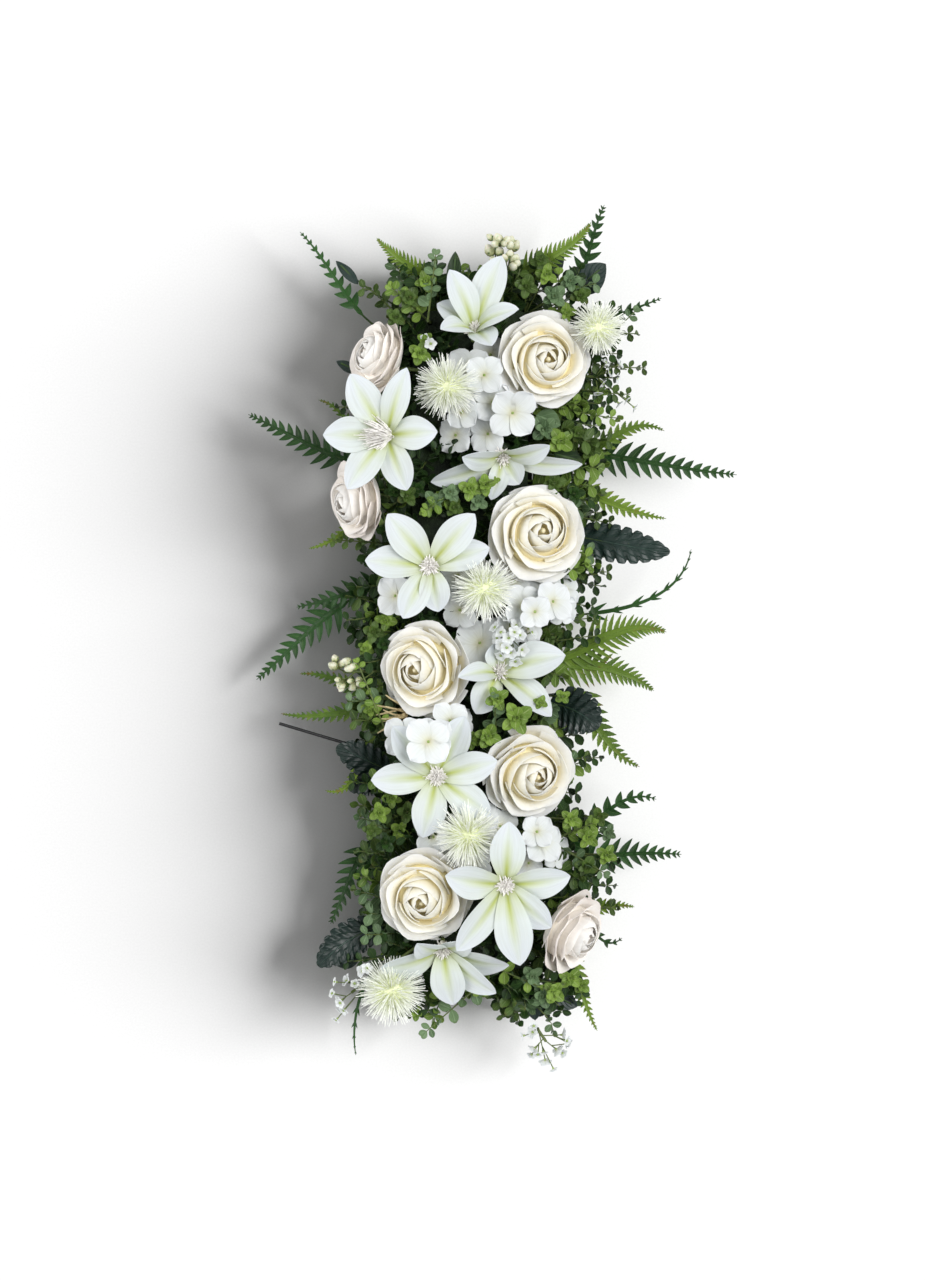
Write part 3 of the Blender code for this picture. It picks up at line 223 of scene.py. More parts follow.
# Lower florets that fill the white stretches: middle, azimuth and elevation, width
FILL_FLORETS = (
    ((14, 262, 102), 100, 80, 44), ((22, 236, 98), -30, 80, 46), ((-8, 226, 98), 200, 75, 38),
    ((34, 262, 96), 60, 70, 38), ((44, 44, 100), 20, 80, 38), ((64, 28, 96), -40, 75, 36),
    ((-36, -96, 124), 140, 82, 44), ((-50, -112, 112), 190, 70, 40), ((-20, -112, 116), -40, 78, 38),
    ((66, -190, 98), 40, 75, 36), ((-48, 50, 90), 200, 70, 38), ((6, -202, 96), 100, 70, 36),
    ((-12, 268, 80), 150, 60, 44), ((2, 222, 80), 230, 70, 46), ((18, 205, 78), 200, 70, 42),
    ((-14, 204, 76), 180, 60, 42), ((34, 250, 74), 0, 60, 40), ((26, 268, 72), 40, 60, 38),
    ((-12, 64, 84), 120, 70, 40), ((-10, 30, 80), 220, 65, 42), ((44, 58, 80), 60, 70, 38),
    ((66, 44, 84), 30, 70, 42), ((92, 30, 76), -30, 55, 36), ((94, 50, 76), 40, 50, 36),
    ((40, 12, 84), -20, 75, 36), ((58, 12, 78), -40, 60, 36), ((-12, -82, 84), 30, 60, 38),
    ((26, -112, 78), 0, 70, 38), ((-36, -196, 80), 160, 60, 42), ((-42, -228, 76), 200, 55, 38),
    ((34, -214, 78), -60, 60, 40), ((60, -192, 82), 30, 60, 42), ((84, -212, 76), -10, 50, 38),
    ((58, -222, 72), -40, 50, 36), ((-6, -224, 78), 200, 65, 40), ((12, -176, 82), 60, 60, 38),
)
FILL_DROPS = (0, -5, 5, -10, -15, 10)

# Foliage that comes out of the foam's sides. A mouth is where the stem leaves the foam.
# A frond is its tip, the azimuth that the tip points to, its longest leaflet and its pairs.
FERNS_DARK = (
    ((-58, 306, 20), (((-170, 408, 60), 135, 15, 8),)),
    ((-58, 170, 20), (((-223, 227, 35), 155, 24, 9),)),
    ((-58, 58, 18), (((-215, -40, 30), 220, 27, 9), ((-174, 33, 44), 190, 20, 7))),
    ((-58, -182, 20), (((-140, -285, 40), 245, 24, 8),)),
    ((-58, -312, 20), (((-115, -418, 30), 280, 9, 7),)),
    ((58, 312, 20), (((134, 434, 70), 65, 24, 8), ((192, 343, 45), 22, 17, 7))),
    ((58, 192, 20), (((268, 166, 40), -5, 25, 10),)),
    ((58, 24, 18), (((222, 91, 45), 80, 11, 8),)),
    ((58, -222, 20), (((213, -216, 30), -5, 26, 8), ((187, -160, 44), -22, 22, 6),
                      ((153, -300, 34), 41, 16, 5))),
)
FERNS_LIGHT = (
    ((-30, 330, 32), (((-93, 401, 70), 128, 18, 8),)),
    ((-58, 144, 34), (((-152, 241, 44), 168, 16, 6), ((-162, 92, 36), 189, 14, 6))),
    ((-58, -64, 34), (((-171, -34, 42), 185, 15, 6), ((-190, -74, 36), 169, 14, 7),
                      ((-145, -151, 44), 161, 14, 6))),
    ((-58, -258, 34), (((-134, -325, 46), 219, 17, 7),)),
    ((32, 330, 32), (((120, 415, 84), 62, 22, 9),)),
    ((58, 160, 34), (((195, 210, 44), -29, 18, 7), ((197, 122, 42), -6, 18, 7))),
    ((58, -22, 34), (((197, 8, 46), -23, 30, 8), ((185, -51, 34), -38, 26, 7),
                     ((170, -127, 50), -20, 24, 7))),
    ((58, -284, 34), (((128, -393, 38), -60, 17, 7), ((165, -268, 44), -13, 18, 6))),
)
FROND_WAVES = (0, 5, -4, 10, -8, 15)
FROND_PULL = 0.36
FROND_SAG = 6
BARE_STALK = 0.30
FROND_END = 0.96
LEAFLETS_END = 0.975
RIB_END = 0.99
LEAFLET_SLANT = 0.42
LEAFLET_DROOP = 0.10
LEAFLET_TAPER = 0.72
LEAFLET_CROWDING = 1.35
WISP_UNDER = 12
WISP_SLANT = 1.3
RIB_RADIUS = 1.5
# Leaflet and rib finishes, leaflets for each of the solid's, width in spacings, rows of points,
# teeth and their depth, how much shorter the last leaflets are, the web's half width for each
# millimetre of leaflet, and where the leaflets start
FERN_LOOK_DARK = ("fern_dark", "rib_dark", 1.5, 0.72, 8, 0, 0, 0.88, 0.08, BARE_STALK)
FERN_LOOK_LIGHT = ("fern_light", "rib_light", 2.2, 1.02, 10, 4, 0.28, 0.93, 0.17, 0.17)

# Dark lobed leaves: mouth, then tip, azimuth of the tip, width and lobes on each side
DARK_LEAVES = (
    ((58, 108, 32), (((200, 88, 58), -5, 38, 6),)),
    ((58, -62, 32), (((128, -88, 66), -45, 46, 5),)),
    ((-58, -134, 32), (((-134, -108, 52), 165, 34, 4), ((-122, -150, 40), 215, 34, 4))),
    ((-58, -284, 32), (((-152, -327, 50), 228, 38, 6),)),
)

# Sprigs of small round leaves: fork, the tip of each branch with its leaf length and its pairs,
# and which branch has sage leaves instead of lime ones
SPRIGS = (
    ((-42, 318, 78), (((-34, 382, 98), 14, 4), ((-78, 350, 84), 15, 4), ((-48, 284, 104), 13, 3)), 0),
    ((-8, 148, 78), (((24, 158, 108), 13, 3), ((-44, 128, 102), 15, 4), ((-4, 112, 98), 14, 3)), 2),
    ((92, 232, 62), (((88, 366, 72), 15, 4), ((166, 330, 50), 14, 3), ((112, 208, 82), 15, 4)), 1),
    ((26, -92, 82), (((24, -58, 106), 15, 3), ((52, -98, 100), 14, 3), ((6, -104, 102), 15, 3)), 0),
    ((-82, -98, 66), (((-112, -22, 78), 12, 4), ((-90, -178, 82), 16, 4)), None),
    ((92, -196, 66), (((122, -182, 84), 14, 3), ((134, -232, 76), 15, 3), ((98, -160, 84), 13, 3)), 1),
    ((18, -338, 60), (((-44, -392, 58), 18, 3), ((84, -352, 70), 15, 3), ((36, -386, 62), 15, 3)), 0),
)
BRANCH_WAVES = (0, 6, -6, 12, -12, 18)
BRANCH_PULL = 0.3
BRANCH_LEAVES_FROM = 0.238
BRANCH_LEAVES_TO = 0.93
LOWEST_LEAF = 5

# Berry sprigs and waxflowers: end of the twig, radius and places of the berries or flowers. A
# cluster is how near the solid must be, in radii, then how many smaller ones come with each, how
# much they are lifted, and the share of their way forwards that they lose.
STALKS_TO = 0.45
BERRY_CLUSTER = (1.05, 4, 0.5, 0.5)
FLOWER_CLUSTER = (0.6, 2, 0.4, 0)
STAR_EYE = ((0, -3), (0.9, -2.5), (1.4, 0), (1.0, 1.2), (0, 1.6))
BERRY_SPRIGS = (
    ((-126, -32, 66), 5.5,
     ((-136, -26, 72), (-128, -44, 62), (-122, -22, 72), (-116, -46, 64), (-110, -28, 74))),
    ((32, 386, 74), 6.5,
     ((28, 398, 82), (44, 392, 78), (20, 388, 74), (44, 378, 80), (24, 374, 78))),
)
WAXFLOWERS = (
    ((-118, -352, 64), 8,
     ((-130, -360, 72), (-124, -340, 68), (-128, -372, 62), (-108, -330, 74), (-118, -382, 58))),
    ((76, -402, 52), 8,
     ((88, -412, 44), (64, -410, 50), (94, -396, 48), (62, -392, 60), (76, -424, 38))),
)

# The bare stem end: where it enters the foam, and its tip
STEM_END_RADIUS = 1.6
STEM_END = ((-58, -122, 24), (-192, -84, 34))

# How far the filler reaches at the left and at the right, along the arrangement
REACH_AT = (-330, -250, -150, -60, 40, 140, 240, 330)
REACH_LEFT = (-100, -112, -112, -122, -118, -108, -104, -84)
REACH_RIGHT = (104, 128, 120, 92, 104, 126, 138, 120)

# How far it reaches past the ends, and how far and where at the near one it is held shorter
END_REACH = (356, 378)
SHORT_END_REACH = 352
SHORT_END = (-25, 30)

# Where filler twigs stand along the sides, across the ends, and along and across the top: from, to
# and, but for the sides, the step
SIDE_MOUTHS = (-318, 320)
END_MOUTHS = (-50, 52, 9.0)
TOP_ROWS = (-318, 322, 19.0)
TOP_COLUMNS = (-48, 50, 19.0)

# Filler twigs: tries at each place, finishes to draw from, leaf lengths, a leaf's rows and columns
FILLER_TRIES = 5
FILLER_FINISHES = ("deep", "deep", "olive", "sage", "lime")
FILLER_LEAF = (16, 21)
TOP_LEAF = (13, 18)
FILLER_LEAF_GRID = (5, 3)
FILLER_LAYERS = (
    # distance between twigs, lowest and highest mouth, least and most rise of the tip
    (11, 30, 46, (2, 30)),
    (16, 14, 28, (-4, 16)),
)

# Leafy twigs that reach further: mouth, tip, finish and leaf length
PLACED_TWIGS = (
    ((58, 316, 34), (150, 330, 66), "deep", 15), ((58, 304, 40), (168, 306, 66), "olive", 14),
    ((58, 292, 36), (150, 286, 62), "deep", 15), ((58, 280, 38), (176, 272, 60), "olive", 13),
    ((58, 268, 36), (146, 262, 58), "deep", 16), ((58, 256, 38), (160, 246, 54), "olive", 13),
    ((58, 246, 36), (140, 236, 52), "deep", 16), ((58, 236, 40), (150, 222, 56), "lime", 14),
    ((58, 226, 36), (132, 214, 56), "deep", 15), ((58, 214, 38), (140, 200, 52), "olive", 14),
    ((58, 176, 36), (132, 178, 56), "deep", 15), ((58, 150, 36), (134, 146, 50), "olive", 14),
    ((58, 60, 38), (128, 66, 52), "deep", 15), ((58, -4, 36), (128, 4, 50), "deep", 15),
    ((58, -120, 36), (132, -118, 50), "deep", 14), ((58, -206, 36), (150, -222, 54), "deep", 14),
    ((58, -236, 36), (146, -246, 52), "deep", 14), ((58, -266, 34), (150, -268, 50), "olive", 13),
    ((50, -330, 36), (112, -356, 50), "deep", 14), ((44, -330, 38), (92, -374, 50), "deep", 16),
    ((36, -330, 36), (70, -388, 50), "deep", 16), ((28, -330, 34), (50, -384, 46), "deep", 15),
    ((20, -330, 36), (34, -378, 44), "olive", 14), ((40, -330, 30), (84, -394, 46), "sage", 13),
    ((30, -330, 40), (62, -370, 58), "sage", 16), ((46, -330, 42), (100, -352, 58), "deep", 16),
    ((-20, -330, 34), (-36, -384, 46), "lime", 15), ((-30, -330, 34), (-60, -376, 48), "olive", 13),
    ((-58, -316, 34), (-124, -322, 50), "deep", 14), ((-58, -240, 34), (-116, -250, 52), "olive", 14),
    ((-58, -150, 34), (-118, -142, 56), "deep", 15), ((-58, 30, 34), (-124, 20, 54), "deep", 14),
    ((-58, 96, 34), (-138, 100, 48), "olive", 13), ((-58, 226, 34), (-134, 234, 48), "deep", 13),
    ((-58, 322, 34), (-108, 352, 58), "olive", 14), ((-44, 330, 34), (-74, 380, 60), "deep", 14),
    ((40, 330, 34), (72, 384, 62), "deep", 15), ((50, 330, 34), (110, 372, 66), "deep", 16),
    ((58, 322, 36), (126, 356, 66), "sage", 15), ((30, 330, 38), (50, 372, 66), "olive", 14),
    ((58, 90, 36), (136, 84, 44), "deep", 15), ((58, 78, 38), (140, 68, 50), "olive", 14),
    ((58, 70, 34), (134, 54, 48), "deep", 15), ((58, 124, 36), (134, 128, 44), "deep", 15),
    ((58, 134, 38), (142, 118, 50), "olive", 14), ((58, 84, 42), (128, 74, 58), "lime", 13),
    ((58, 44, 36), (124, 34, 52), "deep", 15), ((58, 14, 38), (126, 22, 50), "olive", 14),
    ((40, -330, 34), (78, -376, 40), "deep", 17), ((50, -330, 32), (104, -366, 42), "deep", 16),
    ((-58, 148, 38), (-108, 152, 60), "deep", 15), ((-58, 196, 34), (-120, 178, 44), "deep", 15),
)

# Whorls of round leaves: middle, width and finish. A tier is the length of its leaves as a share
# of the width, their elevation, how far below the middle they start, and their rows and columns.
ROSETTE_DROPS = (0, -4, 4, -8, -12, -18, 8, -24)
ROSETTE_TIERS = ((0.52, 12, 2.5, 7, 5), (0.40, 40, 0, 7, 3), (0.22, 66, -1, 5, 3))
ROSETTES = (
    ((46, -77, 104), 34, "lime"), ((27, -58, 102), 25, "lime"), ((18, -95, 100), 27, "lime"),
    ((2, -100, 92), 18, "lime"), ((70, -62, 96), 15, "lime"), ((92, -56, 92), 16, "lime"),
    ((-20, 147, 92), 24, "sage"), ((0, 150, 96), 24, "lime"), ((15, 154, 96), 22, "lime"),
    ((-36, 138, 90), 24, "sage"), ((8, 138, 90), 22, "sage"), ((-16, 132, 88), 20, "olive"),
    ((-50, 284, 98), 24, "lime"), ((-44, 297, 94), 18, "lime"),
    ((90, 198, 82), 28, "lime"), ((74, 210, 80), 28, "sage"), ((108, 206, 76), 20, "olive"),
    ((120, 190, 66), 22, "olive"), ((84, 156, 78), 24, "olive"), ((104, 146, 72), 22, "deep"),
    ((84, -352, 66), 24, "lime"), ((100, -338, 64), 24, "lime"), ((62, -336, 64), 24, "sage"),
    ((72, -356, 58), 26, "sage"), ((50, -350, 56), 24, "deep"), ((112, -346, 56), 18, "lime"),
    ((100, -178, 88), 22, "lime"), ((118, -196, 84), 24, "lime"), ((128, -176, 78), 20, "olive"),
    ((136, -214, 76), 22, "lime"), ((116, -226, 72), 24, "olive"), ((138, -192, 70), 18, "sage"),
    ((-90, -172, 76), 22, "lime"), ((-78, -158, 72), 20, "lime"), ((-62, -172, 74), 22, "olive"),
    ((-98, -190, 70), 20, "olive"), ((-84, -202, 70), 22, "deep"), ((-70, -190, 66), 20, "lime"),
    ((-60, 340, 84), 24, "olive"), ((-44, 356, 90), 22, "lime"), ((-74, 322, 76), 22, "olive"),
    ((56, 352, 84), 24, "olive"), ((84, 342, 80), 26, "sage"), ((100, 358, 74), 22, "sage"),
    ((76, 364, 78), 22, "lime"), ((96, 326, 76), 20, "lime"), ((110, 344, 70), 22, "olive"),
    ((70, 378, 76), 20, "olive"), ((-54, -372, 54), 20, "lime"), ((-40, -356, 58), 20, "olive"),
    ((-62, 143, 88), 22, "olive"), ((-76, 147, 80), 20, "deep"), ((-52, 150, 80), 20, "deep"),
    ((-100, -70, 66), 20, "lime"), ((-88, -84, 62), 20, "olive"), ((-96, 8, 66), 22, "olive"),
    ((-86, -4, 66), 22, "deep"), ((-104, -8, 62), 18, "lime"), ((-84, 20, 66), 22, "lime"),
)

# Larger single leaves: foot, root and tip of the leaf, width and finish
SINGLE_LEAVES = (
    ((50, 326, 36), (104, 348, 58), (136, 376, 60), 30, "lobed"),
    ((44, 326, 36), (72, 352, 52), (94, 392, 56), 18, "lobed"),
    ((-50, 322, 36), (-112, 356, 56), (-134, 380, 56), 11, "lobed"),
    ((-12, 326, 36), (-18, 350, 64), (-14, 388, 66), 15, "deep"),
    ((40, -326, 34), (74, -352, 48), (108, -368, 46), 24, "lobed"),
    ((34, -326, 34), (62, -350, 50), (66, -382, 46), 20, "lobed"),
    ((30, -326, 34), (40, -352, 50), (34, -380, 44), 16, "deep"),
    ((48, -322, 34), (84, -334, 52), (114, -342, 52), 20, "deep"),
    ((-50, 262, 36), (-112, 268, 50), (-134, 280, 50), 11, "lobed"),
    ((54, 228, 40), (66, 224, 76), (90, 214, 80), 22, "sage"),
    ((54, 190, 40), (84, 186, 70), (112, 178, 70), 22, "deep"),
    ((-54, -320, 34), (-110, -318, 48), (-140, -322, 44), 20, "lobed"),
)

# Sprays of tiny stars: foot, fork, radius of a flower and middles of the flowers
STAR_SPRAYS = (
    ((44, -6, 48), (42, 0, 84), 8, (
        (38, 2, 106), (46, 15, 104), (40, -13, 104), (30, 8, 100), (50, 5, 102), (31, -5, 102),
        (52, -10, 98), (24, 13, 96), (45, -22, 98), (56, 18, 98), (38, 22, 98), (36, -8, 108),
        (44, 8, 108), (30, -16, 98), (62, 8, 94), (26, 2, 94))),
    ((-40, 300, 48), (-40, 296, 84), 6.5, ((-39, 293, 104), (-45, 299, 96))),
    ((56, 268, 38), (126, 264, 54), 6.5, (
        (140, 268, 60), (148, 262, 58), (150, 276, 62), (134, 256, 58), (158, 240, 54), (150, 236, 52),
        (166, 232, 50), (128, 246, 60), (136, 278, 62))),
)

# Pale dried fingers: where they meet, their foot in the foam, and a finger's radii to its tip
TAN_TWIGS = ((-62, -72, 74), (-46, -60, FOAM_TOP - 5))
TAN_TWIG_RADII = (1.2, 1.1, 1.0, 0.9, 1.1, 0.9, 1.0, 0.5)

# How often the streaks of a petal change across it and along it, and from one petal to the next
STREAKS = (("across", 9), ("along", 1.6), ("shade", 40))

# Light and camera. A light is its azimuth and elevation, its spread in degrees and its strength.
# The photograph shows 1280 mm from its top edge to its bottom edge. The floor's half width is in
# metres.
FLOOR_HALF = 40
WORLD_STRENGTH = 0.32
WINDOW = ((2, 31), 40, 6.4)
SOFTBOX = ((15, 56), 44, 2.7)
REFLECTOR = ((180, 28), 50, 2.0)
SENSOR = 36
CAMERA_HEIGHT = 4000
FRAME_HEIGHT = 1280
FOCUS_HEIGHT = 60
CAMERA_X = -7.5


def unit(vector):
    """Vector of length 1 that points the same way."""
    vector = np.asarray(vector, float)
    return vector / np.linalg.norm(vector)


def heading(azimuth, elevation=0.0):
    """Unit vector that points along an azimuth and elevation."""
    azimuth = math.radians(azimuth)
    elevation = math.radians(elevation)
    level = math.cos(elevation)
    return np.array((level * math.cos(azimuth), level * math.sin(azimuth), math.sin(elevation)))


def bezier(corners, share):
    """Points at the given shares of the way along a cubic curve."""
    a, b, c, d = (np.array(corner, float) for corner in corners)
    t = np.asarray(share, float)[..., None]
    return a * (1 - t) ** 3 + b * 3 * t * (1 - t) ** 2 + c * 3 * t ** 2 * (1 - t) + d * t ** 3


def curve(count, *corners):
    """Evenly spread points of a cubic curve."""
    return bezier(corners, np.linspace(0, 1, count))


def spin(facing):
    """Matrix whose columns are the +X, +Y and +Z axes turned the shortest way to a new +Z."""
    return np.array(Vector((0, 0, 1)).rotation_difference(Vector(facing)).to_matrix())


def stand(points, base, facing):
    """Points given round the +Z axis, turned the shortest way to face another way and moved."""
    return np.asarray(points, float) @ spin(facing).T + np.array(base, float)


def spoke(axes, angle, rise):
    """Way out from the third axis, at an angle round it, and tipped up along it."""
    return axes @ np.array((math.cos(angle), math.sin(angle), rise))


def ease(low, high, value):
    """Smooth step from 0 at low to 1 at high."""
    t = np.clip((np.asarray(value, float) - low) / (high - low), 0, 1)
    return t * t * (3 - 2 * t)


class Solid:
    """Mesh of one CAD node, or of several, for finding out what lies where."""

    def __init__(self, *names):
        points = []
        faces = []
        for name in names:
            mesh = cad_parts[name].data
            count = len(points)
            points += [vertex.co / MM for vertex in mesh.vertices]
            faces += [[number + count for number in face.vertices] for face in mesh.polygons]
        self.points = np.array([point[:] for point in points])
        self.tree = BVHTree.FromPolygons(points, faces)

    def gap(self, point):
        """Distance from a point to the nearest face."""
        return self.tree.find_nearest(Vector(point))[3]

    def under(self, point):
        """Whether any face lies below a point."""
        return self.tree.ray_cast(Vector(point), Vector((0, 0, -1)))[0] is not None

    def stem_place(self):
        """Where the stem stands in the foam, from above."""
        low = self.points[:, 2] < FOAM_TOP - ROOT_DEPTH + SEAT_GAP + 1
        return self.points[low, :2].mean(axis=0)


def closest(solid, points):
    """Number of the point that lies nearest to a solid's faces, and how far off it is."""
    gaps = [solid.gap(point) for point in points]
    best = int(np.argmin(gaps))
    return best, gaps[best]


class Piece:
    """Points and faces of one finished piece, gathered sheet by sheet and rod by rod.

    Each point also has its place along and across the petal, leaf or stem that it belongs to, and
    a shade between 0 and 1 that the materials use to vary one leaf from the next.
    """

    def __init__(self, name):
        self.name = name
        self.finishes = []
        self.points = []
        self.values = []
        self.faces = []
        self.kinds = []
        self.count = 0

    def add(self, points, faces, finish, along, across, shade):
        """Adds points with their values, and faces that count from the first of them."""
        if finish not in self.finishes:
            self.finishes.append(finish)
        kind = self.finishes.index(finish)
        points = np.asarray(points, float).reshape(-1, 3)
        values = np.empty((len(points), 3))
        for column, value in enumerate((along, across, shade)):
            values[:, column] = np.broadcast_to(value, (len(points),))
        self.points.append(points)
        self.values.append(values)
        for part in faces:
            self.faces += (np.asarray(part) + self.count).tolist()
            self.kinds += [kind] * len(part)
        self.count += len(points)

    def sheet(self, grid, finish, shade=0.5, thickness=CLOTH):
        """Closed thin sheet round a middle surface. Its rows run from root to tip."""
        rows, columns = grid.shape[:2]
        normal = np.cross(np.gradient(grid, axis=1), np.gradient(grid, axis=0))
        normal /= np.maximum(np.linalg.norm(normal, axis=2, keepdims=True), 1e-9)
        shift = normal * thickness / 2
        points = np.concatenate(((grid + shift).reshape(-1, 3), (grid - shift).reshape(-1, 3)))
        number = np.arange(rows * columns).reshape(rows, columns)
        a, b, c, d = (corner.ravel() for corner in (
            number[:-1, :-1], number[:-1, 1:], number[1:, 1:], number[1:, :-1]))
        under = rows * columns
        top = np.stack((a, b, c, d), axis=1)
        low = np.stack((a, d, c, b), axis=1) + under
        loop = np.concatenate((number[0, :-1], number[:-1, -1], number[-1, :0:-1], number[:0:-1, 0]))
        ahead = np.roll(loop, -1)
        rim = np.stack((ahead, loop, loop + under, ahead + under), axis=1)
        along = np.repeat(np.linspace(0, 1, rows), columns)
        across = np.tile(np.linspace(-1, 1, columns), rows)
        self.add(points, (top, low, rim), finish, np.tile(along, 2), np.tile(across, 2), shade)

    def rods(self, paths, radii, finish, sides, shade=0.5):
        """Closed rods, one along each path. All the paths have the same number of points."""
        paths = np.asarray(paths, float)
        if paths.ndim == 2:
            paths = paths[None]
        many, steps = paths.shape[:2]
        tangent = np.gradient(paths, axis=1)
        tangent /= np.maximum(np.linalg.norm(tangent, axis=2, keepdims=True), 1e-9)
        bend = np.cross(tangent[:, 0], tangent[:, -1])
        # A straight rod takes its sides from a fixed way that no rod here follows
        plain = np.cross(tangent[:, 0] + tangent[:, -1], (0.31, 0.17, 0.93))
        bent = np.linalg.norm(bend, axis=1, keepdims=True) > 0.1
        reference = np.where(bent, bend, plain)[:, None, :]
        side = reference - tangent * np.sum(reference * tangent, axis=2, keepdims=True)
        side /= np.maximum(np.linalg.norm(side, axis=2, keepdims=True), 1e-9)
        other = np.cross(tangent, side)
        turn = 2 * math.pi * np.arange(sides) / sides
        ring = (side[:, :, None, :] * np.cos(turn)[:, None] + other[:, :, None, :] * np.sin(turn)[:, None])
        radii = np.broadcast_to(radii, (many, steps))[:, :, None, None]
        points = (paths[:, :, None, :] + ring * radii).reshape(-1, 3)
        number = np.arange(many * steps * sides).reshape(many, steps, sides)
        ahead = np.roll(number, -1, axis=2)
        walls = np.stack((number[:, :-1], ahead[:, :-1], ahead[:, 1:], number[:, 1:]), axis=-1).reshape(-1, 4)
        along = np.broadcast_to(np.linspace(0, 1, steps)[None, :, None], (many, steps, sides)).ravel()
        across = np.broadcast_to(np.cos(turn), (many, steps, sides)).ravel()
        shades = np.broadcast_to(np.asarray(shade, float).reshape(-1, 1, 1), (many, steps, sides)).ravel()
        self.add(points, (walls, number[:, 0, ::-1], number[:, -1]), finish, along, across, shades)

    def globe(self, centre, axis, profile, finish, sides, shade=0.5, tone=(0, 1)):
        """Closed turned body. profile holds (radius, height) pairs, and tone the values of its ends."""
        profile = np.array(profile, float)
        turn = 2 * math.pi * np.arange(sides) / sides
        rings = np.stack((profile[1:-1, :1] * np.cos(turn), profile[1:-1, :1] * np.sin(turn),
                          np.repeat(profile[1:-1, 1:], sides, axis=1)), axis=-1)
        local = np.vstack((rings.reshape(-1, 3), (0, 0, profile[0, 1]), (0, 0, profile[-1, 1])))
        number = np.arange(rings.shape[0] * sides).reshape(-1, sides)
        ahead = np.roll(number, -1, axis=1)
        walls = np.stack((number[:-1], ahead[:-1], ahead[1:], number[1:]), axis=-1).reshape(-1, 4)
        first = np.full(sides, len(local) - 2)
        last = first + 1
        ends = np.vstack((np.stack((first, ahead[0], number[0]), axis=1),
                          np.stack((last, number[-1], ahead[-1]), axis=1)))
        low, high = profile[0, 1], profile[-1, 1]
        along = tone[0] + (tone[1] - tone[0]) * (local[:, 2] - low) / (high - low)
        self.add(stand(local, centre, axis), (walls, ends), finish, along, 0, shade)

    def make(self, nodes=()):
        """Turns what was gathered into an object that rides on the part's body."""
        mesh = bpy.data.meshes.new(self.name)
        mesh.from_pydata((np.concatenate(self.points) * MM).tolist(), [], self.faces)
        values = np.concatenate(self.values).astype(np.float32)
        for column, name in enumerate(("along", "across", "shade")):
            attribute = mesh.attributes.new(name, "FLOAT", "POINT")
            attribute.data.foreach_set("value", np.ascontiguousarray(values[:, column]))
        for finish in self.finishes:
            mesh.materials.append(FINISHES[finish])
        mesh.polygons.foreach_set("material_index", self.kinds)
        mesh.shade_smooth()
        mesh.set_sharp_from_angle(angle=math.radians(SHARP_FROM))
        item = bpy.data.objects.new(self.name, mesh)
        bpy.context.scene.collection.objects.link(item)
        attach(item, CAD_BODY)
        if nodes:
            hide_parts(*nodes)


def leaf_grid(root, way, up, length, halves, columns, droop=0.0, fold=0.0):
    """Middle surface of a leaf. halves holds its half width at each row, from root to tip."""
    halves = np.asarray(halves, float)[:, None]
    along = np.linspace(0, 1, len(halves))[:, None]
    across = np.linspace(-1, 1, columns)[None, :]
    way = unit(way)
    side = unit(np.cross(way, up))
    above = np.cross(side, way)
    lift = fold * halves * np.abs(across) - droop * length * along ** 2
    return (np.asarray(root, float) + way * (length * along + 0 * across)[..., None]
            + side * (halves * across)[..., None] + above * lift[..., None])


def egg(rows, width, fullest=1.0, tip=0.03):
    """Half widths of a plain leaf or petal whose fullest part moves to the tip as fullest grows."""
    along = np.linspace(0, 1, rows)
    return width / 2 * (np.sin(math.pi * along ** fullest) ** 0.8 * (1 - tip) + tip)


def linear(colour):
    """Linear red, green, blue and alpha of an sRGB hex colour."""
    values = [int(colour[k:k + 2], 16) / 255 for k in (1, 3, 5)]
    return [v / 12.92 if v <= 0.04045 else ((v + 0.055) / 1.055) ** 2.4 for v in values] + [1]


def per_mm(size):
    """Texture scale whose features are about this many millimetres across."""
    return 1 / (size * MM)


class Finish:
    """A material whose nodes are added one by one and joined to its shader at the end."""

    def __init__(self, name, **sockets):
        self.material = bpy.data.materials.new(name)
        self.material.use_nodes = True
        self.tree = self.material.node_tree
        self.shader = self.tree.nodes["Principled BSDF"]
        for socket, value in sockets.items():
            self.shader.inputs[socket.replace("_", " ")].default_value = value

    def add(self, kind, inputs=(), out=0, stops=(), **settings):
        """Adds a node with its settings, values and links. Gives one of its outputs.

        inputs is a dict by name or number, or a row in the node's own order. A mix of colours
        takes its factor and its colours at 0, 6 and 7, and gives output 2.
        """
        node = self.tree.nodes.new("ShaderNode" + kind)
        for name, value in settings.items():
            setattr(node, name, value)
        pairs = inputs.items() if isinstance(inputs, dict) else enumerate(inputs)
        for key, value in pairs:
            if isinstance(value, bpy.types.NodeSocket):
                self.tree.links.new(value, node.inputs[key])
            else:
                node.inputs[key].default_value = value
        if stops:
            ramp = node.color_ramp.elements
            ramp[0].position, ramp[-1].position = stops[0][0], stops[-1][0]
            ramp[0].color, ramp[-1].color = linear(stops[0][1]), linear(stops[-1][1])
            for position, colour in stops[1:-1]:
                ramp.new(position).color = linear(colour)
        return node.outputs[out]

    def join(self, colour, roughness, normal):
        """Joins the three textures to the shader and gives the finished material."""
        for key, value in (("Base Color", colour), ("Roughness", roughness), ("Normal", normal)):
            self.tree.links.new(value, self.shader.inputs[key])
        return self.material


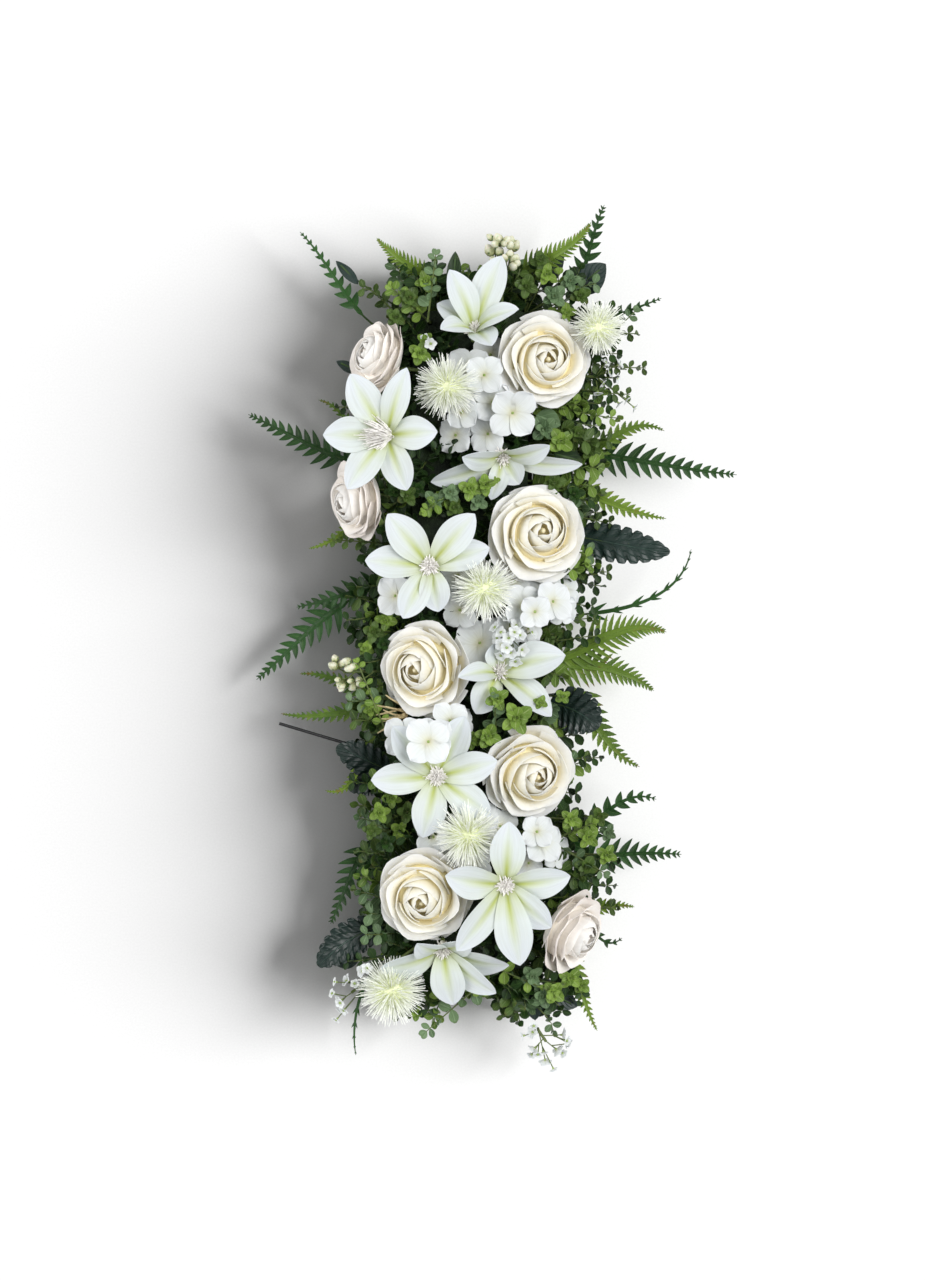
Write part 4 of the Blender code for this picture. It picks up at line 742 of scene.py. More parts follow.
def petal_cloth(name, middle, edge, side, side_span, rib_depth, streaking, **sockets):
    """Pressed cloth petal.

    middle and edge are its colours from root to rim, and side is the value that turns one to the
    other. Streaks run from root to rim, as the fibres and the pressed ribs do, and differ from one
    petal to the next. The real threads are 0.2 mm apart, which is too fine to show, so the weave
    is drawn at 0.9 mm.
    """
    look = Finish(name, **sockets)
    along = look.add("Attribute", out="Fac", attribute_name="along")
    towards = look.add("Math", (look.add("Attribute", out="Fac", attribute_name=side),), operation="ABSOLUTE")
    towards = look.add("MapRange", (towards, *side_span))
    inner, outer = (look.add("ValToRGB", (along,), stops=stops) for stops in (middle, edge))
    colour = look.add("Mix", {0: towards, 6: inner, 7: outer}, out=2, data_type="RGBA")
    place = [look.add("Math", (look.add("Attribute", out="Fac", attribute_name=value), scale),
                      operation="MULTIPLY") for value, scale in STREAKS]
    streaks = look.add("TexNoise", {"Vector": look.add("CombineXYZ", place), "Scale": 1.0, "Detail": 3.0})
    tone = look.add("ValToRGB", (streaks,), stops=((0.3, "#E4E2DC"), (0.62, "#FFFFFF")))
    colour = look.add("Mix", {0: streaking, 6: colour, 7: tone}, out=2, data_type="RGBA",
                      blend_type="MULTIPLY")
    point = look.add("TexCoord", out="Object")
    weave = look.add("TexNoise", {"Vector": point, "Scale": per_mm(0.9), "Detail": 2.0})
    height = look.add("Math", (weave, 0.25, streaks), operation="MULTIPLY_ADD")
    normal = look.add("Bump", {"Height": height, "Strength": 0.6, "Distance": rib_depth * MM})
    return look.join(colour, look.add("MapRange", (weave, 0.3, 0.7, 0.5, 0.68)), normal)


def cream_silk():
    """Pressed polyester silk, dyed cream: near white at the rims. The pale gold between the petals, at their
    roots and in the inner whorls, is painted glow of light that shines through the cloth.
    """
    return petal_cloth(
        "pressed polyester silk, cream",
        ((0.0, "#E2C66C"), (0.55, "#F3E3A6"), (0.75, "#F7ECC6"), (0.9, "#F8F3DE"), (1.0, "#F7F5EA")),
        ((0.0, "#E4D296"), (0.35, "#F4ECCE"), (0.6, "#F6F3E6"), (0.86, "#F5F4EF"), (1.0, "#F4F4F2")),
        "shade", (0.0, 1.0), 0.12, 0.15, Sheen_Weight=0.2, Sheen_Roughness=0.5,
        Subsurface_Weight=0.35, Subsurface_Scale=4 * MM, Subsurface_Radius=(1.0, 0.92, 0.7))


def blush_and_shade_silk():
    """Pressed polyester silk, pale pink, for the roses that face away from the lights: its greyish cast is
    painted shade, and it is lighter than the cream one, painted light for the light these roses miss.
    """
    return petal_cloth(
        "pressed polyester silk, blush",
        ((0.0, "#E6D4AC"), (0.4, "#F8EEDA"), (0.7, "#FCF6EE"), (1.0, "#FCF9F4")),
        ((0.0, "#E4D4BE"), (0.4, "#F8EFE4"), (0.72, "#FBF5EE"), (0.9, "#F8F0EA"), (1.0, "#F0E4DC")),
        "shade", (0.0, 1.0), 0.16, 0.2, Sheen_Weight=0.2, Sheen_Roughness=0.5,
        Subsurface_Weight=0.35, Subsurface_Scale=4 * MM, Subsurface_Radius=(1.0, 0.95, 0.88))


def coated_cloth():
    """Polyester coated with latex: cool white, smooth and slightly waxy, flushed green at the root."""
    return petal_cloth(
        "latex-coated polyester, white",
        ((0.0, "#7C8836"), (0.16, "#AEBA60"), (0.36, "#C6D0AC"), (0.6, "#D0D9D0"), (1.0, "#D4DBE0")),
        ((0.0, "#A9B46C"), (0.13, "#C8D1B8"), (0.30, "#D1D9D6"), (0.7, "#D4DBE0"), (1.0, "#D5DCE3")),
        "across", (0.03, 0.38), 0.3, 0.35, Sheen_Weight=0.05, Coat_Weight=0.08, Coat_Roughness=0.4,
        Subsurface_Weight=0.25, Subsurface_Scale=2 * MM, Subsurface_Radius=(0.8, 0.9, 1.0))


def voile():
    """Polyester voile: thin and cool white, with a faint yellow where the lobes meet."""
    return petal_cloth(
        "polyester voile, white",
        ((0.0, "#C2BD88"), (0.18, "#D8DAC6"), (0.45, "#DDE2E0"), (1.0, "#E0E5E9")),
        ((0.0, "#CAC8AC"), (0.2, "#DADED6"), (0.5, "#DFE4E5"), (1.0, "#E6EAEE")),
        "across", (0.0, 0.8), 0.25, 0.3, Sheen_Weight=0.1, Sheen_Roughness=0.5,
        Subsurface_Weight=0.3, Subsurface_Scale=2 * MM, Subsurface_Radius=(0.9, 0.95, 1.0))


def filament(name, stops, roughness):
    """Extruded polyethylene thread: dense and waxy, so it looks lit from inside at the tips."""
    look = Finish(name, IOR=1.51)
    point = look.add("TexCoord", out="Object")
    along = look.add("Attribute", out="Fac", attribute_name="along")
    colour = look.add("ValToRGB", (along,), stops=stops)
    mottle = look.add("TexNoise", {"Vector": point, "Scale": per_mm(3), "Detail": 2.0})
    tone = look.add("ValToRGB", (mottle,), stops=((0.3, "#E2E6D8"), (0.6, "#FFFFFF")))
    colour = look.add("Mix", {0: 0.6, 6: colour, 7: tone}, out=2, data_type="RGBA", blend_type="MULTIPLY")
    normal = look.add("Bump", {"Height": mottle, "Strength": 0.3, "Distance": 0.2 * MM})
    rough = look.add("MapRange", (mottle, 0.3, 0.7, roughness - 0.08, roughness + 0.08))
    return look.join(colour, rough, normal)


def moulded_leaf(name, dark, light, rib, tip, veins, slant, rib_width=0.1, depth=0.35, **sockets):
    """Moulded or pressed leaf: a mid rib, slanting side veins, and a tone that differs by leaf."""
    look = Finish(name, **sockets)
    point = look.add("TexCoord", out="Object")
    along, across, shade = (look.add("Attribute", out="Fac", attribute_name=value)
                            for value in ("along", "across", "shade"))
    across = look.add("Math", (across,), operation="ABSOLUTE")
    mottle = look.add("TexNoise", {"Vector": point, "Scale": per_mm(7), "Detail": 4.0})
    tone = look.add("Math", (mottle, 0.5, shade), operation="MULTIPLY_ADD")
    tone = look.add("MapRange", (tone, 0.25, 1.25))
    colour = look.add("ValToRGB", (tone,), stops=((0.0, dark), (1.0, light)))
    phase = look.add("Math", (across, -slant, along), operation="MULTIPLY_ADD")
    phase = look.add("Math", (phase, veins), operation="MULTIPLY")
    vein = look.add("MapRange", (look.add("Math", (phase, 1.0), operation="PINGPONG"), 0.72, 1.0))
    middle = look.add("MapRange", (across, rib_width, rib_width * 0.3))
    browned = look.add("Math", (along, mottle), operation="MULTIPLY")
    for share, paint in ((look.add("MapRange", (vein, 0, 1, 0, 0.35)), rib),
                         (look.add("MapRange", (middle, 0, 1, 0, 0.8)), rib),
                         (look.add("MapRange", (browned, 0.46, 0.62, 0, 0.75)), tip)):
        colour = look.add("Mix", {0: share, 6: colour, 7: linear(paint)}, out=2, data_type="RGBA")
    height = look.add("Math", (vein, middle), operation="MAXIMUM")
    height = look.add("Math", (mottle, 0.5, height), operation="MULTIPLY_ADD")
    normal = look.add("Bump", {"Height": height, "Strength": 0.7, "Distance": depth * MM})
    return look.join(colour, look.add("MapRange", (mottle, 0.3, 0.7, 0.34, 0.55)), normal)


def wrapped_wire(name, base, streak, tip, roughness=0.6):
    """Wire in a dull moulded or paper sleeve: streaked along its length, and turning to another colour
    towards its tip.
    """
    look = Finish(name)
    point = look.add("TexCoord", out="Object")
    along = look.add("Attribute", out="Fac", attribute_name="along")
    grain = look.add("TexNoise", {"Vector": point, "Scale": per_mm(2.2), "Detail": 3.0})
    colour = look.add("ValToRGB", (grain,), stops=((0.35, base), (0.7, streak)))
    worn = look.add("MapRange", (along, 0.4, 1.0, 0, 0.7))
    colour = look.add("Mix", {0: worn, 6: colour, 7: linear(tip)}, out=2, data_type="RGBA")
    normal = look.add("Bump", {"Height": grain, "Strength": 0.5, "Distance": 0.25 * MM})
    rough = look.add("MapRange", (grain, 0.3, 0.7, roughness - 0.1, roughness + 0.1))
    return look.join(colour, rough, normal)


def berry_skin():
    """Sprayed polystyrene berry: cream at the top, darker olive towards the bottom, with fine pits."""
    look = Finish("sprayed polystyrene berry", Subsurface_Weight=0.1, Subsurface_Scale=2 * MM)
    point = look.add("TexCoord", out="Object")
    along = look.add("Attribute", out="Fac", attribute_name="along")
    mottle = look.add("TexNoise", {"Vector": point, "Scale": per_mm(4), "Detail": 4.0})
    tone = look.add("Math", (along, mottle), operation="MULTIPLY")
    colour = look.add("ValToRGB", (tone,), stops=(
        (0.08, "#6E7444"), (0.24, "#AEB286"), (0.42, "#D8D8C0"), (0.65, "#E6E5D6")))
    pits = look.add("TexNoise", {"Vector": point, "Scale": per_mm(0.9), "Detail": 2.0})
    normal = look.add("Bump", {"Height": pits, "Strength": 0.4, "Distance": 0.2 * MM})
    return look.join(colour, look.add("MapRange", (pits, 0.3, 0.7, 0.45, 0.65)), normal)


def phenolic_foam():
    """Dry phenolic foam: open cells of about 0.5 mm, drawn at 1.4 mm, and crumbly dents. Its near-black green
    is partly the foam's own dark green and partly painted shade for the dark gaps between the blooms.
    """
    look = Finish("phenolic foam, dark green")
    point = look.add("TexCoord", out="Object")
    cells = look.add("TexVoronoi", {"Vector": point, "Scale": per_mm(1.4)}, out="Distance")
    dents = look.add("TexNoise", {"Vector": point, "Scale": per_mm(14), "Detail": 5.0})
    # Near-black greens: the foam's own dark green, made darker as painted shade for the gaps between the
    # blooms
    colour = look.add("ValToRGB", (dents,), stops=((0.35, "#141F12"), (0.7, "#2C3D22")))
    height = look.add("Math", (dents, 3.0, cells), operation="MULTIPLY_ADD")
    normal = look.add("Bump", {"Height": height, "Strength": 0.9, "Distance": 1.0 * MM})
    return look.join(colour, look.add("MapRange", (cells, 0.0, 0.8, 0.98, 0.85)), normal)


def moulded_tray():
    """Injection-moulded polypropylene, black: fine spark-eroded grain and broad scuffed patches."""
    look = Finish("injection-moulded polypropylene, black", IOR=1.49)
    point = look.add("TexCoord", out="Object")
    grain = look.add("TexNoise", {"Vector": point, "Scale": per_mm(0.8), "Detail": 3.0})
    scuffs = look.add("TexNoise", {"Vector": point, "Scale": per_mm(22), "Detail": 6.0})
    colour = look.add("ValToRGB", (scuffs,), stops=((0.4, "#141416"), (0.72, "#2A2B2D")))
    normal = look.add("Bump", {"Height": grain, "Strength": 0.4, "Distance": 0.15 * MM})
    return look.join(colour, look.add("MapRange", (scuffs, 0.35, 0.7, 0.38, 0.62)), normal)


def paper_sweep():
    """Matt white paper: bright and even, with a faint tooth."""
    look = Finish("matt white paper", Specular_IOR_Level=0.2)
    point = look.add("TexCoord", out="Object")
    tooth = look.add("TexNoise", {"Vector": point, "Scale": per_mm(2), "Detail": 2.0})
    colour = look.add("ValToRGB", (tooth,), stops=((0.3, "#E0E0E0"), (0.7, "#E4E4E4")))
    normal = look.add("Bump", {"Height": tooth, "Strength": 0.1, "Distance": 0.1 * MM})
    return look.join(colour, look.add("MapRange", (tooth, 0.3, 0.7, 0.88, 0.95)), normal)


FINISHES = {
    "cream": cream_silk(),
    "blush": blush_and_shade_silk(),
    "clematis": coated_cloth(),
    "voile": voile(),
    "needle": filament("extruded polyethylene thread, white",
                       ((0.0, "#E2EBA4"), (0.35, "#F0F5C8"), (0.6, "#F8FBEE"), (1.0, "#FCFDFC")), 0.45),
    "stamen": filament("extruded polyethylene thread, grey pink",
                       ((0.0, "#D8DCB4"), (0.3, "#F2EEEC"), (1.0, "#F9F6F5")), 0.5),
    "fern_dark": moulded_leaf("moulded polyethylene, dark fern", "#14300F", "#2F5E26", "#4C6A36",
                              "#2A4A1C", 9, 0.5, IOR=1.5, Specular_IOR_Level=0.35),
    "fern_light": moulded_leaf("moulded polyethylene, light fern", "#3A5A1C", "#7E9A34", "#5C782E",
                               "#7A4A2A", 9, 0.5, IOR=1.5, Specular_IOR_Level=0.35),
    "lobed": moulded_leaf("coated cloth leaf, slate green", "#0B1A17", "#1E352F", "#31483F",
                          "#162C25", 12, 0.45, rib_width=0.05, depth=0.8, IOR=1.5),
    "lime": moulded_leaf("moulded polyethylene, lime leaf", "#42601F", "#82A042", "#9CB06C",
                         "#6F8A3A", 7, 0.6, rib_width=0.12, IOR=1.5, Specular_IOR_Level=0.3),
    "olive": moulded_leaf("moulded polyethylene, olive leaf", "#253912", "#526C2E", "#687E44",
                          "#5A5A2A", 7, 0.6, rib_width=0.12, IOR=1.5, Specular_IOR_Level=0.3),
    "sage": moulded_leaf("moulded polyethylene, sage leaf", "#35502E", "#708A62", "#86A078",
                         "#5A6A46", 7, 0.6, rib_width=0.12, IOR=1.5, Specular_IOR_Level=0.3),
    "deep": moulded_leaf("moulded polyethylene, deep green leaf", "#10240A", "#2C4A1C", "#3E5A26",
                         "#3A4A24", 7, 0.6, rib_width=0.12, IOR=1.5, Specular_IOR_Level=0.3),
    "rib_dark": wrapped_wire("plastic-coated wire, dark green", "#26381C", "#45562C", "#3E5A2C"),
    "rib_light": wrapped_wire("plastic-coated wire, light green", "#4C6026", "#6C803C", "#6A6C34"),
    "stem": wrapped_wire("paper-wrapped wire, olive", "#4A5A2C", "#6C7A40", "#5C6A38"),
    "twig": wrapped_wire("dyed natural twig, tan", "#7A6740", "#C2B084", "#D2C49A", 0.75),
    "black_wire": wrapped_wire("plastic-coated wire, black", "#0C0C0E", "#1E1E20", "#101012", 0.4),
    "berry": berry_skin(),
}


def stem_line(start, facing, place, share):
    """Stem from a bloom down to just above the foam. It goes on straight down from there."""
    above = np.array((place[0], place[1], FOAM_TOP + STEM_LIFT), float)
    drop = start[2] - above[2]
    corners = (start, start - facing * 0.45 * drop, above + (0, 0, 0.4 * drop), above)
    end = (place[0], place[1], FOAM_TOP - ROOT_DEPTH + SEAT_GAP)
    return np.vstack((bezier(corners, share), end))


def add_stem(piece, start, facing, place, radius):
    """Adds the stem from a bloom or a fork to its hole in the foam."""
    path = stem_line(np.asarray(start, float), facing, place, np.linspace(0, 1, 12))
    piece.rods(path, radius, "stem", 8)


def stem_points(start, facing, place, count, end=0.85):
    """Points spread along the solid's plainer stem, from its top downwards."""
    stem = stem_line(np.array(start, float), facing, place, np.array((0, 0.5, 1)))
    steps = np.linalg.norm(np.diff(stem, axis=0), axis=1)
    lengths = np.concatenate(((0,), np.cumsum(steps)))
    places = np.linspace(0.02, end, count) * lengths[-1]
    return np.stack([np.interp(places, lengths, stem[:, axis]) for axis in range(3)], axis=1)


def rose_petal(corners, middle, half_angle, slant, roll, dice):
    """Middle surface of a rose petal, whose rim rolls outwards, round the +Z axis."""
    rows, columns = ROSE_PETAL_GRID
    across = np.linspace(-1, 1, columns)[None, :]
    along = np.linspace(0, 1, rows)[:, None]
    lobe = 1 - ROSE_ROUNDING * np.abs(across) ** 2.5 + 0.025 * np.exp(-(across / 0.16) ** 2)
    radius, height = np.moveaxis(bezier(corners, along * lobe), -1, 0)
    curl = ease(ROSE_ROLL_FROM, 1.0, along) ** 1.5
    pinch = 0.65 + 0.35 * np.cos(2 * math.pi * across * 0.9 + dice.uniform(-0.6, 0.6))
    waves = np.sin(3.1 * across + dice.uniform(0, 6.3)) + 0.5 * np.sin(6.7 * across + dice.uniform(0, 6.3))
    radius = radius + slant * across + roll * curl * pinch + 0.5 * waves * along ** 3
    height = height - roll * 0.55 * curl * pinch + 0.5 * waves * along ** 4
    angle = middle + half_angle * across * (0.6 + 0.4 * np.sqrt(along))
    return np.stack((radius * np.cos(angle), radius * np.sin(angle), height), axis=-1)


def rose(piece, solid, dice, heart, azimuth, elevation, width, finish):
    """Layered silk rose on its stem, with its calyx."""
    scale = width / ROSE_WIDTH
    facing = heading(azimuth, elevation)
    base = np.array(heart) - facing * ROSE_RIM * scale
    shift = ROSE_SHIFT * unit((*dice.normal(0, 1, 2), 0))
    last = len(ROSE_WHORLS) - 1
    for whorl, (count, profile, half, roll, slant) in enumerate(ROSE_WHORLS):
        # Inner whorls take the gold petal colours and outer ones the cool white: the gold is painted glow
        # deep in the rose.
        shade = float(np.clip(1.1 - 0.3 * whorl, 0, 1))
        for petal in range(count):
            middle = 2 * math.pi * (petal + ROSE_TURN * whorl) / count + dice.uniform(-0.08, 0.08)
            corners = np.array(profile, float)
            corners[2:, 0] *= dice.uniform(0.95, 1.04)
            corners[2:, 1] += dice.uniform(-1.6, 1.0)
            grid = rose_petal(corners, middle, half, slant, roll, dice) + shift * whorl / last
            grid = stand(grid.reshape(-1, 3) * scale, base, facing).reshape(grid.shape)
            piece.sheet(grid, finish, shade * dice.uniform(0.85, 1))
    piece.globe(base, facing, np.array(ROSE_HEART) * scale, finish, 20, 0, ROSE_HEART_TONE)
    eye = stand((shift * scale,), base, facing)[0]
    piece.globe(eye, facing, np.array(ROSE_EYE) * scale, finish, 9, 0, ROSE_EYE_TONE)
    calyx(piece, base, facing, scale, dice)
    add_stem(piece, base - facing * ROSE_NECK, facing, solid.stem_place(), STEM_RADIUS)


def calyx(piece, base, facing, scale, dice):
    """Green hip under a rose, with five pointed sepals."""
    piece.globe(base, facing, np.array(ROSE_HIP) * scale, "rib_dark", 12)
    axes = spin(facing)
    for turn in range(5):
        way = spoke(axes, 2 * math.pi * turn / 5 + dice.uniform(-0.1, 0.1), -0.12)
        root = base + way * 5 * scale - facing * 1.5
        halves = egg(9, SEPAL_WIDTH * scale, 0.75)
        grid = leaf_grid(root, way, facing, SEPAL_LENGTH * scale, halves, 5, droop=-0.06, fold=0.2)
        piece.sheet(grid, "deep", dice.uniform(0.2, 0.8), LEAF)


def clematis_petal(heart, facing, petal, rows, columns, dice=None):
    """Middle surface of a clematis petal. With dice it has its ribs, channel and ruffled edge too."""
    azimuth, reach, rise, width = petal
    way = heading(azimuth) * reach + np.array((0, 0, rise))
    length = np.linalg.norm(way)
    upper = unit(facing - unit(way) * np.dot(facing, unit(way)))
    side = np.cross(upper, unit(way))
    across = np.linspace(-1, 1, columns)[None, :]
    along = 1 - 0.96 * (1 - np.linspace(0, 1, rows)[:, None]) ** 1.5
    half = width / 2 * np.sin(math.pi * along ** 1.28) ** 0.72 + CLEMATIS_CLAW * (1 - along) + CLEMATIS_POINT
    lift = CLEMATIS_ARCH * length * np.sin(math.pi * along) + CLEMATIS_FOLD * half * np.abs(across) ** 1.5
    if dice is not None:
        full = np.sin(math.pi * along) ** 0.5
        ribs = 0.5 * np.exp(-((np.abs(across) - 0.28) / 0.10) ** 2) - 0.7 * np.exp(-(across / 0.13) ** 2)
        ruffle = np.sin(9 * along + 2.2 * np.sign(across) + dice.uniform(0, 6.3)) * np.abs(across) ** 3
        lift = lift + full * (ribs + 0.7 * ruffle)
        half = half * (1 + 0.025 * np.sin(7 * along + dice.uniform(0, 6.3)))
        half = half * (1 - 0.3 * ease(0.95, 1.0, along))
    return (np.array(heart, float) + way * (along + 0 * across)[..., None]
            - side * (half * across)[..., None] + upper * lift[..., None])


def clematis(piece, solid, dice, heart, azimuth, elevation, petals, lean=(0, 0, 0)):
    """Six-petalled bloom, its petals tipped as the solid's are, with a brush of stamens."""
    facing = heading(azimuth, elevation)
    heart = np.array(heart, float)
    for azimuth, reach, rise, width in petals:
        trials = [(azimuth, reach, rise + change, width) for change in CLEMATIS_RISES]
        best, gap = closest(solid, [clematis_petal(heart, facing, trial, 4, 3)[-1, 1] for trial in trials])
        if gap < PETAL_WITHIN:
            grid = clematis_petal(heart, facing, trials[best], *CLEMATIS_PETAL_GRID, dice)
            piece.sheet(grid, "clematis", dice.uniform(0, 1))
    stamens(piece, heart, facing, np.array(lean, float), dice)
    piece.globe(heart, facing, CLEMATIS_BOSS, "stamen", 10, 0.5, (0, 0.6))
    add_stem(piece, heart - facing * CLEMATIS_NECK, facing, solid.stem_place(), STEM_RADIUS)


def sphere_ways(count, lowest=-1.0):
    """Evenly spread unit vectors, from a lowest height up to straight up."""
    step = np.arange(count) + 0.5
    height = 1 - (1 - lowest) * step / count
    turn = math.pi * (1 + 5 ** 0.5) * step
    level = np.sqrt(1 - height ** 2)
    return np.stack((level * np.cos(turn), level * np.sin(turn), height), axis=1)


def stamens(piece, heart, facing, lean, dice):
    """Brush of stamens, bent over where they lean."""
    ways = sphere_ways(STAMENS, 0.0) @ spin(facing).T
    share = np.linspace(0, 1, 5)[None, :, None]
    length = STAMEN_LENGTH * dice.uniform(0.75, 1.1, (STAMENS, 1, 1)) * (1 + 0.4 * np.linalg.norm(lean))
    root = heart + facing * 1.5 + ways * 2.5
    bow = dice.normal(0, 0.22, (STAMENS, 1, 3))
    paths = root[:, None] + length * (share * ways[:, None] + share ** 2 * (bow + lean))
    piece.rods(paths, STAMEN_RADII, "stamen", 3, dice.uniform(0, 1, STAMENS))


def pincushion(piece, solid, dice, centre, reach):
    """Ball of wavy needles, each as long as the solid's spike that is nearest to it."""
    centre = np.array(centre, float)
    arms = solid.points - centre
    lengths = np.linalg.norm(arms, axis=1)
    in_stem = (arms[:, 2] < -NEEDLE_CORE) & (np.hypot(arms[:, 0], arms[:, 1]) < 8)
    tips = (lengths > NEEDLE_CORE + 1) & (lengths < reach + 1) & ~in_stem
    tip_ways = arms[tips] / lengths[tips, None]
    ways = sphere_ways(NEEDLES)
    ways = ways + dice.normal(0, 0.05, ways.shape)
    ways /= np.linalg.norm(ways, axis=1, keepdims=True)
    nearest = np.argmax(ways @ tip_ways.T, axis=1)
    clumped = ways + 0.35 * tip_ways[nearest]
    clumped /= np.linalg.norm(clumped, axis=1, keepdims=True)
    long = lengths[tips][nearest] * dice.choice(NEEDLE_LENGTHS, NEEDLES)
    long = long * dice.uniform(0.94, 1.03, NEEDLES)
    long = np.where(ways[:, 2] < -0.75, np.minimum(long, 16), long)
    share = np.linspace(0, 1, 5)[None, :, None]
    sway = dice.normal(0, 1, (NEEDLES, 1, 3))
    sway -= ways[:, None] * np.sum(sway * ways[:, None], axis=2, keepdims=True)
    wave = np.sin(7 * share + dice.uniform(0, 6.3, (NEEDLES, 1, 1))) * 0.55 * share
    way = ways[:, None] * (1 - share) + clumped[:, None] * share
    paths = centre + way * (3 + (long[:, None, None] - 3) * share) + sway * (wave + 1.3 * share ** 2)
    piece.rods(paths, np.linspace(*NEEDLE_RADII, 5), "needle", 3, dice.uniform(0, 1, NEEDLES))
    piece.globe(centre, (0, 0, 1), NEEDLE_BED, "needle", 14, 0.9, (0.2, 0.4))
    add_stem(piece, centre - (0, 0, NEEDLE_CORE * 2 / 3), heading(0, 90), solid.stem_place(), STEM_RADIUS)


def floret(piece, middle, azimuth, elevation, width, joint, dice):
    """Four round overlapping lobes on a thin stalk."""
    facing = heading(azimuth, elevation)
    axes = spin(facing)
    middle = np.asarray(middle, float)
    along = np.linspace(0, 1, 8)
    across = np.linspace(-1, 1, 7)[None, :]
    halves = width * 0.245 * np.sin(math.pi * (0.05 + 0.95 * along ** 1.35)) ** 0.7 + 0.4
    for lobe in range(4):
        angle = math.radians(FLORET_LOBE_TURN + 90 * lobe) + dice.uniform(-0.08, 0.08)
        way = spoke(axes, angle, 0.14 + dice.uniform(-0.05, 0.1))
        length = width / 2 * dice.uniform(0.94, 1.04)
        tilt = facing * (0.5 if lobe % 2 else -0.2)
        grid = leaf_grid(middle + tilt, way, facing, length, halves, 7, droop=0.04, fold=0.10)
        ripple = 1.3 * np.sin(3.4 * across + dice.uniform(0, 6.3)) * along[:, None] ** 2
        ripple = ripple - 0.5 * np.exp(-(across / 0.16) ** 2) * np.sin(math.pi * along[:, None])
        grid = grid + facing * ripple[..., None]
        piece.sheet(grid, "voile", dice.uniform(0, 1), CLOTH)
    piece.globe(middle + facing * 0.6, facing, FLORET_EYE, "lime", 7, 0.9)
    neck = middle - facing * FLORET_NECK
    piece.rods(curve(7, middle, neck, neck * 0.6 + joint * 0.4, joint), STALK_RADIUS, "stem", 5)


def hydrangea(piece, solid, dice, *florets):
    """Group of florets on one stem. Each sits where the solid's does."""
    kept = []
    for middle, azimuth, elevation, width in florets:
        hearts = [np.array(middle, float) + (0, 0, drop) for drop in FLORET_DROPS]
        best, gap = closest(solid, hearts)
        if gap < FLORET_WITHIN:
            kept.append((hearts[best], azimuth, elevation, width))
    heart, azimuth, elevation, _ = kept[0]
    facing = heading(azimuth, elevation)
    place = solid.stem_place()
    add_stem(piece, heart - facing * 2, facing, place, STEM_RADIUS)
    joints = stem_points(heart - facing * 2, facing, place, HUNG_FROM)
    for heart, azimuth, elevation, width in kept:
        near = sorted(joints, key=lambda joint: np.linalg.norm(joint - heart + (0, 0, 10)))
        joint = min(near[:5], key=lambda joint: solid.gap((joint + heart) / 2))
        floret(piece, heart, azimuth, elevation, width, joint, dice)


def fill_florets(piece, blooms, dice):
    """Florets low between the blooms, each moved up or down until its lobes are clear."""
    for middle, azimuth, elevation, width in FILL_FLORETS:
        axes = spin(heading(azimuth, elevation))
        tips = [spoke(axes, turn, 0.14) * width / 2 for turn in np.radians(np.arange(8) * 45)]
        for drop in FILL_DROPS:
            heart = np.array(middle, float) + (0, 0, drop)
            if min(blooms.gap(heart + tip * share) for tip in tips for share in (0, 0.55, 1)) > FLORET_CLEAR:
                foot = np.array((*heart[:2], FOAM_TOP - 1))
                floret(piece, heart, azimuth, elevation, width, foot, dice)
                break


def outward_from(mouth):
    """Which way a stem leaves the foam: to the side, or out of an end."""
    if abs(mouth[0]) > FOAM_HALF_WIDTH - 1:
        return np.array((math.copysign(1, mouth[0]), 0, 0))
    return np.array((0, math.copysign(1, mouth[1]), 0))


def side_path(mouth, tip, tip_azimuth, wave, share):
    """Curve from a mouth in the foam's side to a tip. wave lifts or lowers its middle."""
    outward = outward_from(mouth)
    start = np.array(mouth, float) + outward * 2
    tip = np.array(tip, float)
    reach = np.linalg.norm(tip - start)
    corners = (start, start + outward * FROND_PULL * reach + (0, 0, wave),
               tip - heading(tip_azimuth) * FROND_PULL * reach + (0, 0, FROND_SAG + wave), tip)
    return bezier(corners, share)


def axes_along(path_at, share):
    """Point of a path with its forward, sideways and upward axes there."""
    here = path_at(share)
    tangent = unit(path_at(share + 0.01) - path_at(share - 0.01))
    side = unit(np.cross(tangent, (0, 0, 1)))
    return here, tangent, side, np.cross(side, tangent)


def root_of(mouth, first=True):
    """Start of a stalk: deep in its hole in the foam, or just outside if it shares the hole."""
    return np.array(mouth, float) - outward_from(mouth) * (ROOT_DEPTH - SEAT_GAP if first else -1)


def find_frond(solid, mouth, leaf, pairs):
    """The curve of a frond in the solid and which of its leaflets are there, or None."""
    tip, tip_azimuth, longest, _ = leaf
    best, gap = closest(solid, [side_path(mouth, tip, tip_azimuth, wave, 0.62) for wave in FROND_WAVES])
    if gap > LEAFLET_WITHIN:
        return None

    def path_at(share):
        return side_path(mouth, tip, tip_azimuth, FROND_WAVES[best], share)

    kept = {}
    nodes = np.linspace(BARE_STALK, FROND_END, pairs + 1)
    for pair in range(pairs):
        back, tangent, side, above = axes_along(path_at, nodes[pair])
        front = path_at(nodes[pair + 1])
        length = longest * (1 - LEAFLET_TAPER * pair / pairs)
        for hand in (1, -1):
            way = unit(hand * side + LEAFLET_SLANT * tangent)
            end = (back + front) / 2 + hand * side + way * length - above * LEAFLET_DROOP * length
            kept[pair, hand] = solid.gap(end) < LEAFLET_WITHIN
    return path_at, kept


def pinna_halves(rows, width, teeth, depth):
    """Half widths of a fern leaflet with a saw-toothed edge that leans to its tip."""
    along = np.linspace(0, 1, rows)
    plain = width / 2 * (1 - along ** 1.8) ** 0.85 * (0.86 + 0.14 * np.sin(math.pi * along)) + 0.12
    return plain * (1 - depth * ((along * teeth) % 1))


